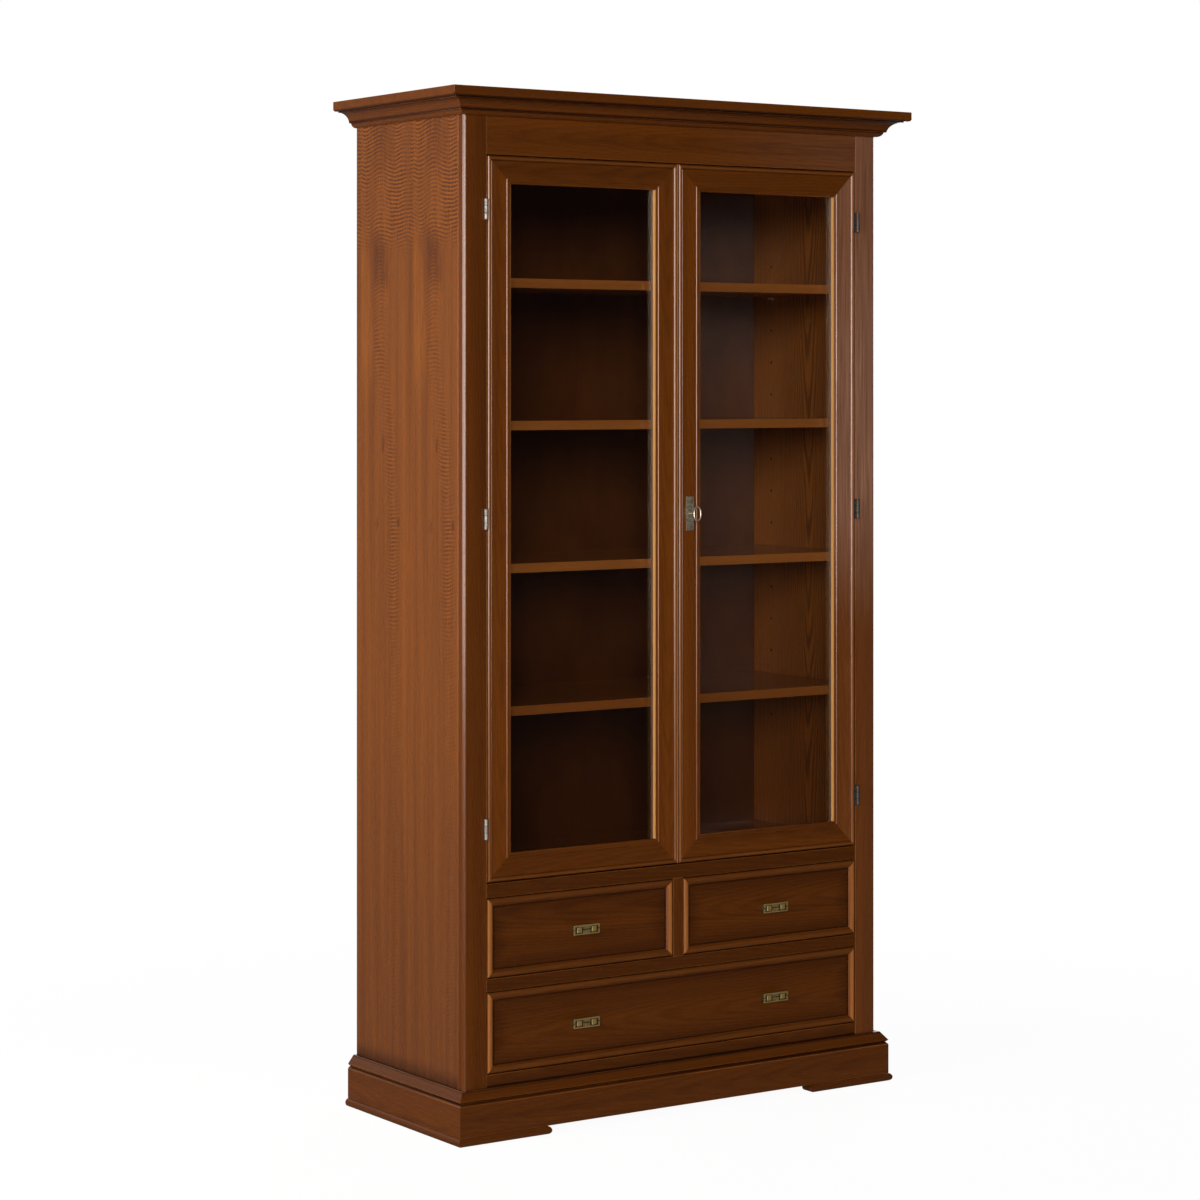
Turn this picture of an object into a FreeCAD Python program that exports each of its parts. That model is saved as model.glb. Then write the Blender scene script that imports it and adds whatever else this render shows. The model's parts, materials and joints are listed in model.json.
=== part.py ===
import FreeCAD, Part
import math
import os

Vector = FreeCAD.Vector

# A tall bookcase with two glazed doors over three drawers, on a plinth with two runner feet.
# Millimetres. X runs across, Y runs back, Z runs up, and the origin is on the floor under the middle.

# Case
HEIGHT = 2000.0
BODY_WIDTH = 1000.0
BODY_DEPTH = 405.0
SIDE_THICKNESS = 20.0
POST_WIDTH = 51.5
POST_THICKNESS = 20.0
POST_ROUNDING = 7.0
RAIL_THICKNESS = 20.0
RAIL_SETBACK = 0.5
BOARD_THICKNESS = 18.0
BACK_THICKNESS = 8.0
BACK_RECESS = 9.0
BACK_SEAT = 10.0
MUNTIN_WIDTH = 23.0

# Heights up the front, from the floor
FOOT_HEIGHT = 16.0
PLINTH_HEIGHT = 64.0
CAP_HEIGHT = 21.0
BASE_RAIL_HEIGHT = 23.5
WIDE_OPENING_HEIGHT = 157.5
DRAWER_RAIL_HEIGHT = 24.5
SMALL_OPENING_HEIGHT = 154.5
MIDDLE_RAIL_HEIGHT = 27.0
FRIEZE_HEIGHT = 73.0

# Cornice: a slab over a fillet, a cove, a step and an ovolo
CORNICE_OUT = 54.0
SLAB_THICKNESS = 19.0
SLAB_ROUNDING = 5.5
CORNICE_FILLET = 2.0
COVE_WIDTH = 25.5
COVE_HEIGHT = 20.0
COVE_STEP = 4.0
OVOLO_WIDTH = 13.0
OVOLO_HEIGHT = 9.0

# Plinth and feet
PLINTH_OUT = 20.0
PLINTH_THICKNESS = 28.0
GROOVE_DEPTH = 5.0
GROOVE_HALF_HEIGHT = 4.2
CAP_LEDGE = 7.0
FOOT_NOSE = 6.0
FOOT_RETURN = 210.0

# Shelves and the pins that carry them
SHELF_COUNT = 4
LOWEST_SHELF_SHARE = 0.2348
SHELF_PITCH_SHARE = 0.2005
SHELF_SETBACK = 5.0
SHELF_PLAY = 0.5
PIN_RADIUS = 2.5
PIN_REACH = 9.0
PIN_DEPTH = 10.0
PIN_INSET = 61.0
PIN_PLACES_PER_SHELF = 4
PIN_FIT = 0.05
SHELF_SEAT = 0.1

# Back panel screws
SCREWS_PER_SIDE = 6
SCREW_INSET = 60.0
SCREW_HEAD_RADIUS = 4.0
SCREW_HEAD_HEIGHT = 2.4
SCREW_SHANK_RADIUS = 1.7
SCREW_GRIP = 14.0

# Gaps round the doors and drawers
FRONT_GAP = 2.0
MEETING_GAP = 2.5
STOP_PLAY = 0.5
STOP_LIP = 10.0

# Doors: a mitred frame with a bead at each edge, a pane and the beads that hold it
DOOR_THICKNESS = 22.0
DOOR_PROUD = 1.0
DOOR_FRAME_WIDTH = 53.0
EDGE_DROP = 4.4
EDGE_QUIRK = 0.6
OUTER_BEAD_WIDTH = 9.0
OUTER_BEAD_DROP = 3.2
THIN_BEAD_WIDTH = 3.5
THIN_BEAD_DROP = 2.0
FLAT_DROP = 2.4
INNER_BEAD_WIDTH = 4.5
INNER_BEAD_DROP = 0.8
INNER_FILLET_WIDTH = 5.5
REBATE_WIDTH = 10.0
REBATE_DEPTH = 10.0
GLASS_THICKNESS = 4.0
GLASS_PLAY = 0.5
GLAZING_BEAD_WIDTH = 8.0

# Hinges: three on each door, two end barrels on the post's leaf and one on the door's
HINGE_COUNT = 3
HINGE_HEIGHT = 40.0
HINGE_INSET = 103.0
KNUCKLE_RADIUS = 3.5
KNUCKLE_OUT = 4.0
KNUCKLE_SIDE = 3.5
MIDDLE_BARREL = 14.4
BARREL_GAP = 0.3
LEAF_THICKNESS = 0.9
LEAF_PLAY = 0.4
LEAF_DEPTH = 16.0
HINGE_PIN_RADIUS = 1.5
HINGE_FIT = 0.05

# Surface bolts behind the left door
BOLT_RADIUS = 3.5
BOLT_LENGTH = 100.0
BOLT_OFF = 9.0
BOLT_RETREAT = 2.0
BOLT_THROW = 14.0
BOLT_FIT = 0.1
BOLT_PLATE_THICKNESS = 2.0
BOLT_PLATE_WIDTH = 18.0
BOLT_GUIDE_HEIGHT = 12.0
BOLT_GUIDE_WALL = 2.5
BOLT_TIP_SHOWN = 10.0
BOLT_KNOB_RADIUS = 3.0
BOLT_KNOB_LENGTH = 9.0
KEEPER_PLAY = 1.0

# Lock, escutcheon and key on the right door
LOCK_HEIGHT = 56.0
LOCK_WIDTH = 39.0
LOCK_DEPTH = 13.0
LOCK_WALL = 1.5
LOCK_SETBACK = 3.0
LOCK_PLAY = 0.3
LOCK_BOLT_HEIGHT = 16.0
LOCK_BOLT_LENGTH = 24.0
LOCK_BOLT_THICKNESS = 4.0
STRIKE_HEIGHT = 30.0
STRIKE_WIDTH = 18.0
ESCUTCHEON_HEIGHT = 67.0
ESCUTCHEON_WIDTH = 17.5
ESCUTCHEON_BULGE = 1.7
ESCUTCHEON_BULGE_HEIGHT = 34.0
ESCUTCHEON_THICKNESS = 1.6
ESCUTCHEON_NAIL_INSET = 3.5
NAIL_RADIUS = 1.5
NAIL_RISE = 0.8
KEYHOLE_SLOT_WIDTH = 3.2
KEYHOLE_SLOT_DROP = 9.0
KEY_RADIUS = 2.3
KEY_PLAY = 0.4
KEY_SHOWN = 12.0
KEY_BIT_WIDTH = 2.4
KEY_BIT_DROP = 8.0
KEY_BIT_DEPTH = 4.0
BOW_DEPTH = 25.0
BOW_STRAIGHT = 4.5
BOW_WIRE_RADIUS = 1.5

# Drawers: a panelled front with a planted moulding, and a box of thinner boards
PANEL_THICKNESS = 16.0
PANEL_DROP = 5.0
DRAWER_MOULDING_WIDTH = 14.5
DRAWER_MOULDING_EDGE = 2.4
DRAWER_MOULDING_CREST = 5.0
DRAWER_MOULDING_LIP = 0.8
DRAWER_SIDE_THICKNESS = 12.0
DRAWER_BOTTOM_THICKNESS = 5.0
DRAWER_BOTTOM_INSET = 8.0
DRAWER_SIDE_PLAY = 1.0
DRAWER_RUN_PLAY = 0.3
DRAWER_HEADROOM = 12.0
DRAWER_BACK_ROOM = 12.0
GUIDE_HEIGHT = 30.0

# Drawer pulls: a fixed upper half on two square studs, and a drop lower half
PULL_WIDTH = 60.0
PULL_HEIGHT = 18.6
PULL_SPLIT = 0.6
PULL_OFF = 18.0
PULL_THICKNESS = 2.2
PULL_RIM_WIDTH = 3.0
PULL_RIM_RISE = 1.3
PULL_PANEL_WIDTH = 17.0
PULL_WEB_THICKNESS = 1.6
PULL_WEB_MARGIN = 1.0
STUD_SIZE = 10.5
STUD_SPACING = 34.0
STUD_RISE = 2.0
STUD_ROUNDING = 1.2
PIVOT_DROP = 2.2
PIVOT_RADIUS = 0.8
PIVOT_DEPTH = 2.0
PIVOT_FIT = 0.06
PULL_PLAY = 0.4

# How far a cutting shape runs past what it cuts, and the share of a radius at an arc's middle
OVERRUN = 5.0
ARC_MIDDLE_SHARE = math.sqrt(0.5)

# Places across and back
BACK = (BODY_DEPTH + CORNICE_OUT) / 2
FRONT = BACK - BODY_DEPTH
SIDE = BODY_WIDTH / 2
SIDE_INNER = SIDE - SIDE_THICKNESS
OPENING_SIDE = SIDE - POST_WIDTH
POST_BACK = FRONT + POST_THICKNESS
RAIL_FRONT = FRONT + RAIL_SETBACK
RAIL_BACK = RAIL_FRONT + RAIL_THICKNESS
CASE_FRONT = max(POST_BACK, RAIL_BACK)
BACK_FACE = BACK - BACK_RECESS - BACK_THICKNESS
DOOR_FRONT = FRONT - DOOR_PROUD
DOOR_BACK = DOOR_FRONT + DOOR_THICKNESS
STOP_FRONT = max(CASE_FRONT, DOOR_BACK + STOP_PLAY)
SHELF_FRONT = STOP_FRONT + SHELF_SETBACK
SHELF_BACK = BACK_FACE - SHELF_PLAY
HALF_MUNTIN = MUNTIN_WIDTH / 2

# Places up
PLINTH_TOP = FOOT_HEIGHT + PLINTH_HEIGHT
CAP_TOP = PLINTH_TOP + CAP_HEIGHT
WIDE_BOTTOM = CAP_TOP + BASE_RAIL_HEIGHT
WIDE_TOP = WIDE_BOTTOM + WIDE_OPENING_HEIGHT
SMALL_BOTTOM = WIDE_TOP + DRAWER_RAIL_HEIGHT
SMALL_TOP = SMALL_BOTTOM + SMALL_OPENING_HEIGHT
DOORWAY_BOTTOM = SMALL_TOP + MIDDLE_RAIL_HEIGHT
SLAB_BOTTOM = HEIGHT - SLAB_THICKNESS
CORNICE_BOTTOM = SLAB_BOTTOM - CORNICE_FILLET - COVE_HEIGHT - OVOLO_HEIGHT
DOORWAY_TOP = CORNICE_BOTTOM - FRIEZE_HEIGHT
FLOOR_TOP = DOORWAY_BOTTOM + STOP_LIP
CEILING_BOTTOM = DOORWAY_TOP - STOP_LIP
INSIDE_HEIGHT = CEILING_BOTTOM - FLOOR_TOP

# Places on the doors
DOOR_EDGE = OPENING_SIDE - LEAF_THICKNESS - LEAF_PLAY - LEAF_THICKNESS
DOOR_MEET = MEETING_GAP / 2
DOOR_BOTTOM = DOORWAY_BOTTOM + FRONT_GAP
DOOR_TOP = DOORWAY_TOP - FRONT_GAP
FLAT_START = OUTER_BEAD_WIDTH + THIN_BEAD_WIDTH
FLAT_END = DOOR_FRAME_WIDTH - INNER_FILLET_WIDTH - INNER_BEAD_WIDTH
STILE_MIDDLE = DOOR_MEET + (FLAT_START + FLAT_END) / 2
FLAT_FACE = DOOR_FRONT + FLAT_DROP
HINGE_X = OPENING_SIDE + KNUCKLE_SIDE
HINGE_Y = FRONT - KNUCKLE_OUT
HINGE_LOWEST = DOOR_BOTTOM + HINGE_INSET
HINGE_PITCH = (DOOR_TOP - HINGE_INSET - HINGE_LOWEST) / (HINGE_COUNT - 1)
HINGE_HEIGHTS = [HINGE_LOWEST + i * HINGE_PITCH for i in range(HINGE_COUNT)]
END_BARREL = (HINGE_HEIGHT - MIDDLE_BARREL) / 2 - BARREL_GAP
LOCK_Z = (DOOR_BOTTOM + DOOR_TOP) / 2
LOCK_BACK = DOOR_BACK + LOCK_DEPTH
LOCK_BOLT_BACK = LOCK_BACK - LOCK_WALL - LOCK_PLAY
LOCK_BOLT_FRONT = LOCK_BOLT_BACK - LOCK_BOLT_THICKNESS
LOCK_EDGE = DOOR_MEET + LOCK_SETBACK
BOLT_Y = DOOR_BACK + BOLT_OFF

# Places on the drawers
DRAWER_FRONT = FRONT - DOOR_PROUD
PANEL_FACE = DRAWER_FRONT + PANEL_DROP
BOX_FRONT = PANEL_FACE + PANEL_THICKNESS
BOX_BACK = BACK_FACE - DRAWER_BACK_ROOM
SMALL_MIDDLE = (OPENING_SIDE + HALF_MUNTIN) / 2
PULL_FACE = PULL_OFF + PULL_THICKNESS
PULL_RIM = PULL_FACE + PULL_RIM_RISE
STUD_FRONT = PULL_FACE + STUD_RISE
PIVOT_OFF = PULL_OFF + PULL_THICKNESS / 2
STUD_SWEEP = math.hypot(STUD_FRONT - PIVOT_OFF, STUD_SIZE / 2 - PIVOT_DROP) + PULL_PLAY
DROP_SWEEP = math.hypot(PULL_RIM - PIVOT_OFF, PIVOT_DROP - PULL_SPLIT) + PULL_PLAY


def box(x0, x1, y0, y1, z0, z1):
    """A block between two opposite corners."""
    return Part.makeBox(x1 - x0, y1 - y0, z1 - z0, Vector(x0, y0, z0))


def rod(radius, start, end):
    """A round bar from one point to another."""
    run = end - start
    return Part.makeCylinder(radius, run.Length, start, run)


def joined(shapes):
    """One solid from shapes that overlap."""
    whole = shapes[0].fuse(shapes[1:])
    return whole.removeSplitter()


def mirrored(shapes):
    """The same pieces on the other side of the middle."""
    return [shape.mirror(Vector(0, 0, 0), Vector(1, 0, 0)) for shape in shapes]


def outline(points):
    """A closed face in Y and Z: a pair is a corner, two pairs are an arc's middle and end."""
    edges = []
    here = points[0]
    for item in points[1:] + points[:1]:
        if isinstance(item[0], tuple):
            middle, end = item
            arc = Part.Arc(Vector(0, *here), Vector(0, *middle), Vector(0, *end))
            edges.append(arc.toShape())
        else:
            end = item
            edges.append(Part.LineSegment(Vector(0, *here), Vector(0, *end)).toShape())
        here = end
    return Part.Face(Part.Wire(edges))


def level_arc(crest, end):
    """The middle of the arc that is level at its crest and falls to an end."""
    across = end[0] - crest[0]
    down = crest[1] - end[1]
    half_turn = math.atan2(down, abs(across))
    radius = (across**2 + down**2) / (down + down)
    run = math.copysign(radius * math.sin(half_turn), across)
    return (crest[0] + run, crest[1] - radius * (1 - math.cos(half_turn)))


def bead(start, crest, end):
    """The two arcs of a bead's round, over its crest."""
    return [(level_arc(crest, start), crest), (level_arc(crest, end), end)]


def mitred(points, length, start, end):
    """A moulding along X. Each end is square (0), or its mitre lengthens (1) or shortens (-1) outwards."""
    face = outline(points)
    edge = face.BoundBox
    low = edge.YMin - OVERRUN
    high = edge.YMax + OVERRUN
    reach = max(abs(low), abs(high))
    bar = face.extrude(Vector(length + reach + reach, 0, 0))
    bar.translate(Vector(-reach, 0, 0))
    corners = [
        (-start * low, low),
        (length + end * low, low),
        (length + end * high, high),
        (-start * high, high),
    ]
    base = edge.ZMin - OVERRUN
    loop = [Vector(x, y, base) for x, y in corners]
    plan = Part.Face(Part.makePolygon(loop + loop[:1]))
    return bar.common(plan.extrude(Vector(0, 0, edge.ZMax + OVERRUN - base))).Solids[0]


def placed(shape, origin, along, outward):
    """A moulding moved from X and Y to a run and the direction that its outline faces."""
    up = along.cross(outward)
    turn = FreeCAD.Matrix(
        along.x, outward.x, up.x, origin.x,
        along.y, outward.y, up.y, origin.y,
        along.z, outward.z, up.z, origin.z,
    )
    return shape.transformed(turn)


def wrapped(points, base):
    """One moulding along the case's front and both its sides, mitred at the front corners."""
    front = mitred(points, BODY_WIDTH, 1, 1)
    left = mitred(points, BODY_DEPTH, 1, 0)
    right = mitred(points, BODY_DEPTH, 0, 1)
    return [
        placed(front, Vector(SIDE, FRONT, base), Vector(-1, 0, 0), Vector(0, -1, 0)),
        placed(left, Vector(-SIDE, FRONT, base), Vector(0, 1, 0), Vector(-1, 0, 0)),
        placed(right, Vector(SIDE, BACK, base), Vector(0, -1, 0), Vector(1, 0, 0)),
    ]


def framed(points, x0, x1, base, z0, z1):
    """A mitred frame that faces forward, as two uprights and two crosspieces."""
    upright = mitred(points, z1 - z0, -1, -1)
    crosspiece = mitred(points, x1 - x0, -1, -1)
    uprights = [
        placed(upright, Vector(x0, base, z1), Vector(0, 0, -1), Vector(1, 0, 0)),
        placed(upright, Vector(x1, base, z0), Vector(0, 0, 1), Vector(-1, 0, 0)),
    ]
    crosspieces = [
        placed(crosspiece, Vector(x0, base, z0), Vector(1, 0, 0), Vector(0, 0, 1)),
        placed(crosspiece, Vector(x1, base, z1), Vector(-1, 0, 0), Vector(0, 0, -1)),
    ]
    return uprights, crosspieces


def shelf_tops():
    """The heights of the shelves' upper faces."""
    shares = [LOWEST_SHELF_SHARE + i * SHELF_PITCH_SHARE for i in range(SHELF_COUNT)]
    return [FLOOR_TOP + share * INSIDE_HEIGHT for share in shares]


def pin_heights():
    """The heights of the pins under the shelves."""
    return [top - BOARD_THICKNESS - SHELF_SEAT - PIN_RADIUS for top in shelf_tops()]


def pin_hole_heights():
    """The heights of all pin holes, evenly spaced: the shelves' own, those between, and one at either end."""
    pitch = SHELF_PITCH_SHARE * INSIDE_HEIGHT / PIN_PLACES_PER_SHELF
    last = (SHELF_COUNT - 1) * PIN_PLACES_PER_SHELF
    return [pin_heights()[0] + i * pitch for i in range(-1, last + 2)]


def pin_rods(heights, extra):
    """Rods at the pins' places in the left side at these heights, thicker by extra for the holes."""
    rods = []
    for height in heights:
        for y in (SHELF_FRONT + PIN_INSET, SHELF_BACK - PIN_INSET):
            start = Vector(-SIDE_INNER - PIN_DEPTH, y, height)
            rods.append(rod(PIN_RADIUS + extra, start, Vector(-SIDE_INNER + PIN_REACH, y, height)))
    return rods


def screw_places():
    """Where the screws through the back panel's left edge stand, on its rear face."""
    low = CAP_TOP + SCREW_INSET
    pitch = (SLAB_BOTTOM - SCREW_INSET - low) / (SCREWS_PER_SIDE - 1)
    x = -SIDE_INNER - BACK_SEAT / 2
    return [Vector(x, BACK_FACE + BACK_THICKNESS, low + i * pitch) for i in range(SCREWS_PER_SIDE)]


def screw_shank(place):
    """The part of a screw inside the wood."""
    reach = BACK_THICKNESS + SCREW_GRIP
    return rod(SCREW_SHANK_RADIUS, place - Vector(0, reach, 0), place)


def back_screws():
    """Round-headed screws down the left edge of the back panel."""
    screws = []
    for place in screw_places():
        head_radius = (SCREW_HEAD_RADIUS**2 + SCREW_HEAD_HEIGHT**2) / (SCREW_HEAD_HEIGHT + SCREW_HEAD_HEIGHT)
        centre = place + Vector(0, SCREW_HEAD_HEIGHT - head_radius, 0)
        ball = Part.makeSphere(head_radius, centre)
        reach = head_radius + OVERRUN
        behind = Part.makeBox(reach + reach, reach, reach + reach, place - Vector(reach, 0, reach))
        screws.append(joined([ball.common(behind), screw_shank(place)]))
    return screws


def side_panel():
    """The left side, with its back rebate, two rows of shelf pin holes and the screw holes."""
    panel = box(-SIDE, -SIDE_INNER, POST_BACK, BACK, PLINTH_TOP, SLAB_BOTTOM)
    seat = -SIDE_INNER - BACK_SEAT
    rebate = box(seat, -SIDE_INNER + OVERRUN, BACK_FACE, BACK + OVERRUN, PLINTH_TOP - OVERRUN, HEIGHT)
    holes = pin_rods(pin_hole_heights(), PIN_FIT) + [screw_shank(place) for place in screw_places()]
    return panel.cut([rebate] + holes)


def front_post():
    """The left upright of the front, with its outer corner rounded."""
    post = box(-SIDE, -OPENING_SIDE, FRONT, POST_BACK, PLINTH_TOP, SLAB_BOTTOM)
    corner = [e for e in post.Edges if e.BoundBox.XMax < -OPENING_SIDE and e.BoundBox.YMax < POST_BACK]
    return post.makeFillet(POST_ROUNDING, [e for e in corner if e.BoundBox.ZLength > POST_WIDTH])


def rail(z0, z1):
    """A crosspiece of the front between the posts."""
    return box(-OPENING_SIDE, OPENING_SIDE, RAIL_FRONT, RAIL_BACK, z0, z1)


def back_panel():
    """The thin panel that closes the case down to the plinth, drilled for its screws."""
    edge = SIDE_INNER + BACK_SEAT
    panel = box(-edge, edge, BACK_FACE, BACK_FACE + BACK_THICKNESS, PLINTH_TOP, SLAB_BOTTOM)
    holes = [screw_shank(place) for place in screw_places()]
    return panel.cut(holes + mirrored(holes))


def inner_board(front, z0, z1):
    """A board across the inside of the case, from its front edge to the back panel."""
    return box(-SIDE_INNER, SIDE_INNER, front, BACK_FACE, z0, z1)


def bolt_hole(z0, z1):
    """The hole that takes a surface bolt's end."""
    radius = BOLT_RADIUS + KEEPER_PLAY
    low = Vector(-STILE_MIDDLE, BOLT_Y, z0 - OVERRUN)
    return rod(radius, low, Vector(-STILE_MIDDLE, BOLT_Y, z1 + OVERRUN))


def cabinet_floor():
    """The floor behind the doors. Its raised front edge stops them."""
    low = FLOOR_TOP - BOARD_THICKNESS
    return inner_board(STOP_FRONT, low, FLOOR_TOP).cut(bolt_hole(low, FLOOR_TOP))


def cabinet_ceiling():
    """The ceiling behind the doors. Its lowered front edge stops them."""
    high = CEILING_BOTTOM + BOARD_THICKNESS
    return inner_board(STOP_FRONT, CEILING_BOTTOM, high).cut(bolt_hole(CEILING_BOTTOM, high))


def drawer_guides():
    """Strips beside the drawers that fill the sides out to the width of the openings."""
    guides = []
    for low in (WIDE_BOTTOM, SMALL_BOTTOM):
        guides.append(box(-SIDE_INNER, -OPENING_SIDE, CASE_FRONT, BACK_FACE, low, low + GUIDE_HEIGHT))
    return guides + mirrored(guides)


def cornice_slab():
    """The top board, with its lower edge rounded at the front and sides."""
    edge = SIDE + CORNICE_OUT
    slab = box(-edge, edge, FRONT - CORNICE_OUT, BACK, SLAB_BOTTOM, HEIGHT)
    low = [e for e in slab.Edges if e.BoundBox.ZMax < HEIGHT]
    return slab.makeFillet(SLAB_ROUNDING, [e for e in low if e.BoundBox.YMin < FRONT])


def cornice_moulding():
    """The moulding under the slab: ovolo, step, cove and fillet."""
    cove_start = OVOLO_WIDTH + COVE_STEP
    reach = cove_start + COVE_WIDTH
    cove_top = OVOLO_HEIGHT + COVE_HEIGHT
    top = cove_top + CORNICE_FILLET
    ovolo_middle = (OVOLO_WIDTH * ARC_MIDDLE_SHARE, OVOLO_HEIGHT - OVOLO_HEIGHT * ARC_MIDDLE_SHARE)
    cove_middle = (reach - COVE_WIDTH * ARC_MIDDLE_SHARE, OVOLO_HEIGHT + COVE_HEIGHT * ARC_MIDDLE_SHARE)
    points = [
        (0, 0),
        (ovolo_middle, (OVOLO_WIDTH, OVOLO_HEIGHT)),
        (cove_start, OVOLO_HEIGHT),
        (cove_middle, (reach, cove_top)),
        (reach, top),
        (0, top),
    ]
    return wrapped(points, CORNICE_BOTTOM)


def plinth_cap():
    """The sloped moulding where the case meets the plinth."""
    points = [
        (0, 0),
        (PLINTH_OUT - GROOVE_DEPTH, 0),
        (PLINTH_OUT, GROOVE_HALF_HEIGHT),
        (CAP_LEDGE, CAP_HEIGHT),
        (0, CAP_HEIGHT),
    ]
    return wrapped(points, PLINTH_TOP)


def plinth_boards():
    """The plinth's front and sides, grooved under the cap, and its plain back."""
    inner = PLINTH_OUT - PLINTH_THICKNESS
    points = [
        (inner, 0),
        (PLINTH_OUT, 0),
        (PLINTH_OUT, PLINTH_HEIGHT - GROOVE_HALF_HEIGHT),
        (PLINTH_OUT - GROOVE_DEPTH, PLINTH_HEIGHT),
        (inner, PLINTH_HEIGHT),
    ]
    edge = SIDE + inner
    rear = box(-edge, edge, BACK - PLINTH_THICKNESS, BACK, FOOT_HEIGHT, PLINTH_TOP)
    return wrapped(points, FOOT_HEIGHT) + [rear]


def runner_foot():
    """The left foot: a round-nosed runner under the side, and its return along the front."""
    inner = PLINTH_OUT - PLINTH_THICKNESS
    nose = PLINTH_OUT + FOOT_NOSE
    radius = FOOT_HEIGHT / 2
    tip = ((nose, radius), (nose - radius, FOOT_HEIGHT))
    points = [(inner, 0), (nose - radius, 0), tip, (inner, FOOT_HEIGHT)]
    runner = mitred(points, BODY_DEPTH, 1, 0)
    runner = placed(runner, Vector(-SIDE, FRONT, 0), Vector(0, 1, 0), Vector(-1, 0, 0))
    bar = mitred(points, BODY_WIDTH, 0, 1)
    bar = placed(bar, Vector(SIDE, FRONT, 0), Vector(-1, 0, 0), Vector(0, -1, 0))
    length = FOOT_RETURN - nose
    end_tip = ((length, radius), (length - radius, FOOT_HEIGHT))
    end_points = [(-nose, 0), (length - radius, 0), end_tip, (-nose, FOOT_HEIGHT)]
    end = mitred(end_points, BODY_DEPTH + nose + OVERRUN, 0, 0)
    end = placed(end, Vector(-SIDE, BACK, 0), Vector(0, -1, 0), Vector(1, 0, 0))
    return [runner, bar.common(end).Solids[0]]


def shelf(top):
    """One loose shelf."""
    edge = SIDE_INNER - SHELF_PLAY
    return box(-edge, edge, SHELF_FRONT, SHELF_BACK, top - BOARD_THICKNESS, top)


def door_outline():
    """The door frame's section, from its outer edge in and from its back forward."""
    face = DOOR_THICKNESS
    flat = face - FLAT_DROP
    edge = (EDGE_QUIRK, face - EDGE_DROP)
    valley = (OUTER_BEAD_WIDTH, face - OUTER_BEAD_DROP)
    outer_crest = (OUTER_BEAD_WIDTH / 2, face)
    thin_crest = (OUTER_BEAD_WIDTH + THIN_BEAD_WIDTH / 2, face - THIN_BEAD_DROP)
    inner_crest = (FLAT_END + INNER_BEAD_WIDTH / 2, face - INNER_BEAD_DROP)
    sight = DOOR_FRAME_WIDTH
    rebate = DOOR_FRAME_WIDTH - REBATE_WIDTH
    return [
        (0, 0),
        (0, face - EDGE_DROP),
        edge,
        *bead(edge, outer_crest, valley),
        *bead(valley, thin_crest, (FLAT_START, flat)),
        (FLAT_END, flat),
        *bead((FLAT_END, flat), inner_crest, (FLAT_END + INNER_BEAD_WIDTH, flat)),
        (sight, flat),
        (sight, REBATE_DEPTH),
        (rebate, REBATE_DEPTH),
        (rebate, 0),
    ]


def door_frame():
    """The left door's stiles and rails."""
    return framed(door_outline(), -DOOR_EDGE, -DOOR_MEET, DOOR_BACK, DOOR_BOTTOM, DOOR_TOP)


def door_glass():
    """The left door's pane."""
    inset = DOOR_FRAME_WIDTH - REBATE_WIDTH + GLASS_PLAY
    front = DOOR_BACK - REBATE_DEPTH
    return box(
        -DOOR_EDGE + inset, -DOOR_MEET - inset,
        front, front + GLASS_THICKNESS,
        DOOR_BOTTOM + inset, DOOR_TOP - inset,
    )


def glazing_beads():
    """The strips that hold the left door's pane from behind."""
    outer = DOOR_FRAME_WIDTH - REBATE_WIDTH
    inner = outer + GLAZING_BEAD_WIDTH
    high = REBATE_DEPTH - GLASS_THICKNESS
    middle = (outer + inner) / 2
    points = [(outer, 0), (inner, 0), (inner, high / 2), (middle, high), (outer, high)]
    uprights, crosspieces = framed(points, -DOOR_EDGE, -DOOR_MEET, DOOR_BACK, DOOR_BOTTOM, DOOR_TOP)
    return uprights + crosspieces


def barrel(z0, z1):
    """One barrel of a left hinge's knuckle."""
    return rod(KNUCKLE_RADIUS, Vector(-HINGE_X, HINGE_Y, z0), Vector(-HINGE_X, HINGE_Y, z1))


def barrel_strap(x0, x1, z0, z1):
    """The bent strip from a barrel to the leaf that lies between x0 and x1."""
    face = FRONT - LEAF_PLAY
    arm = box(-HINGE_X, x1, face - LEAF_THICKNESS, face, z0, z1)
    return [arm, box(x0, x1, face - LEAF_THICKNESS, FRONT + LEAF_THICKNESS, z0, z1)]


def hinge_pin(height, extra):
    """The pin of a left hinge, thicker by extra for the hole that takes it."""
    half = HINGE_HEIGHT / 2
    low = Vector(-HINGE_X, HINGE_Y, height - half)
    return rod(HINGE_PIN_RADIUS + extra, low, Vector(-HINGE_X, HINGE_Y, height + half))


def frame_leaf(height):
    """The left hinge leaf on the post, with the two end barrels."""
    half = HINGE_HEIGHT / 2
    x0 = -OPENING_SIDE
    x1 = x0 + LEAF_THICKNESS
    pieces = [box(x0, x1, FRONT, FRONT + LEAF_DEPTH, height - half, height + half)]
    for low in (height - half, height + half - END_BARREL):
        pieces.append(barrel(low, low + END_BARREL))
        pieces.extend(barrel_strap(x0, x1, low, low + END_BARREL))
    return joined(pieces).cut(hinge_pin(height, HINGE_FIT))


def door_leaf(height):
    """The left hinge leaf on the door, with the middle barrel."""
    half = HINGE_HEIGHT / 2
    x1 = -DOOR_EDGE
    x0 = x1 - LEAF_THICKNESS
    low = height - MIDDLE_BARREL / 2
    pieces = [box(x0, x1, FRONT, FRONT + LEAF_DEPTH, height - half, height + half)]
    pieces.append(barrel(low, low + MIDDLE_BARREL))
    pieces.extend(barrel_strap(x0, x1, low, low + MIDDLE_BARREL))
    return joined(pieces).cut(hinge_pin(height, HINGE_FIT))


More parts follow.
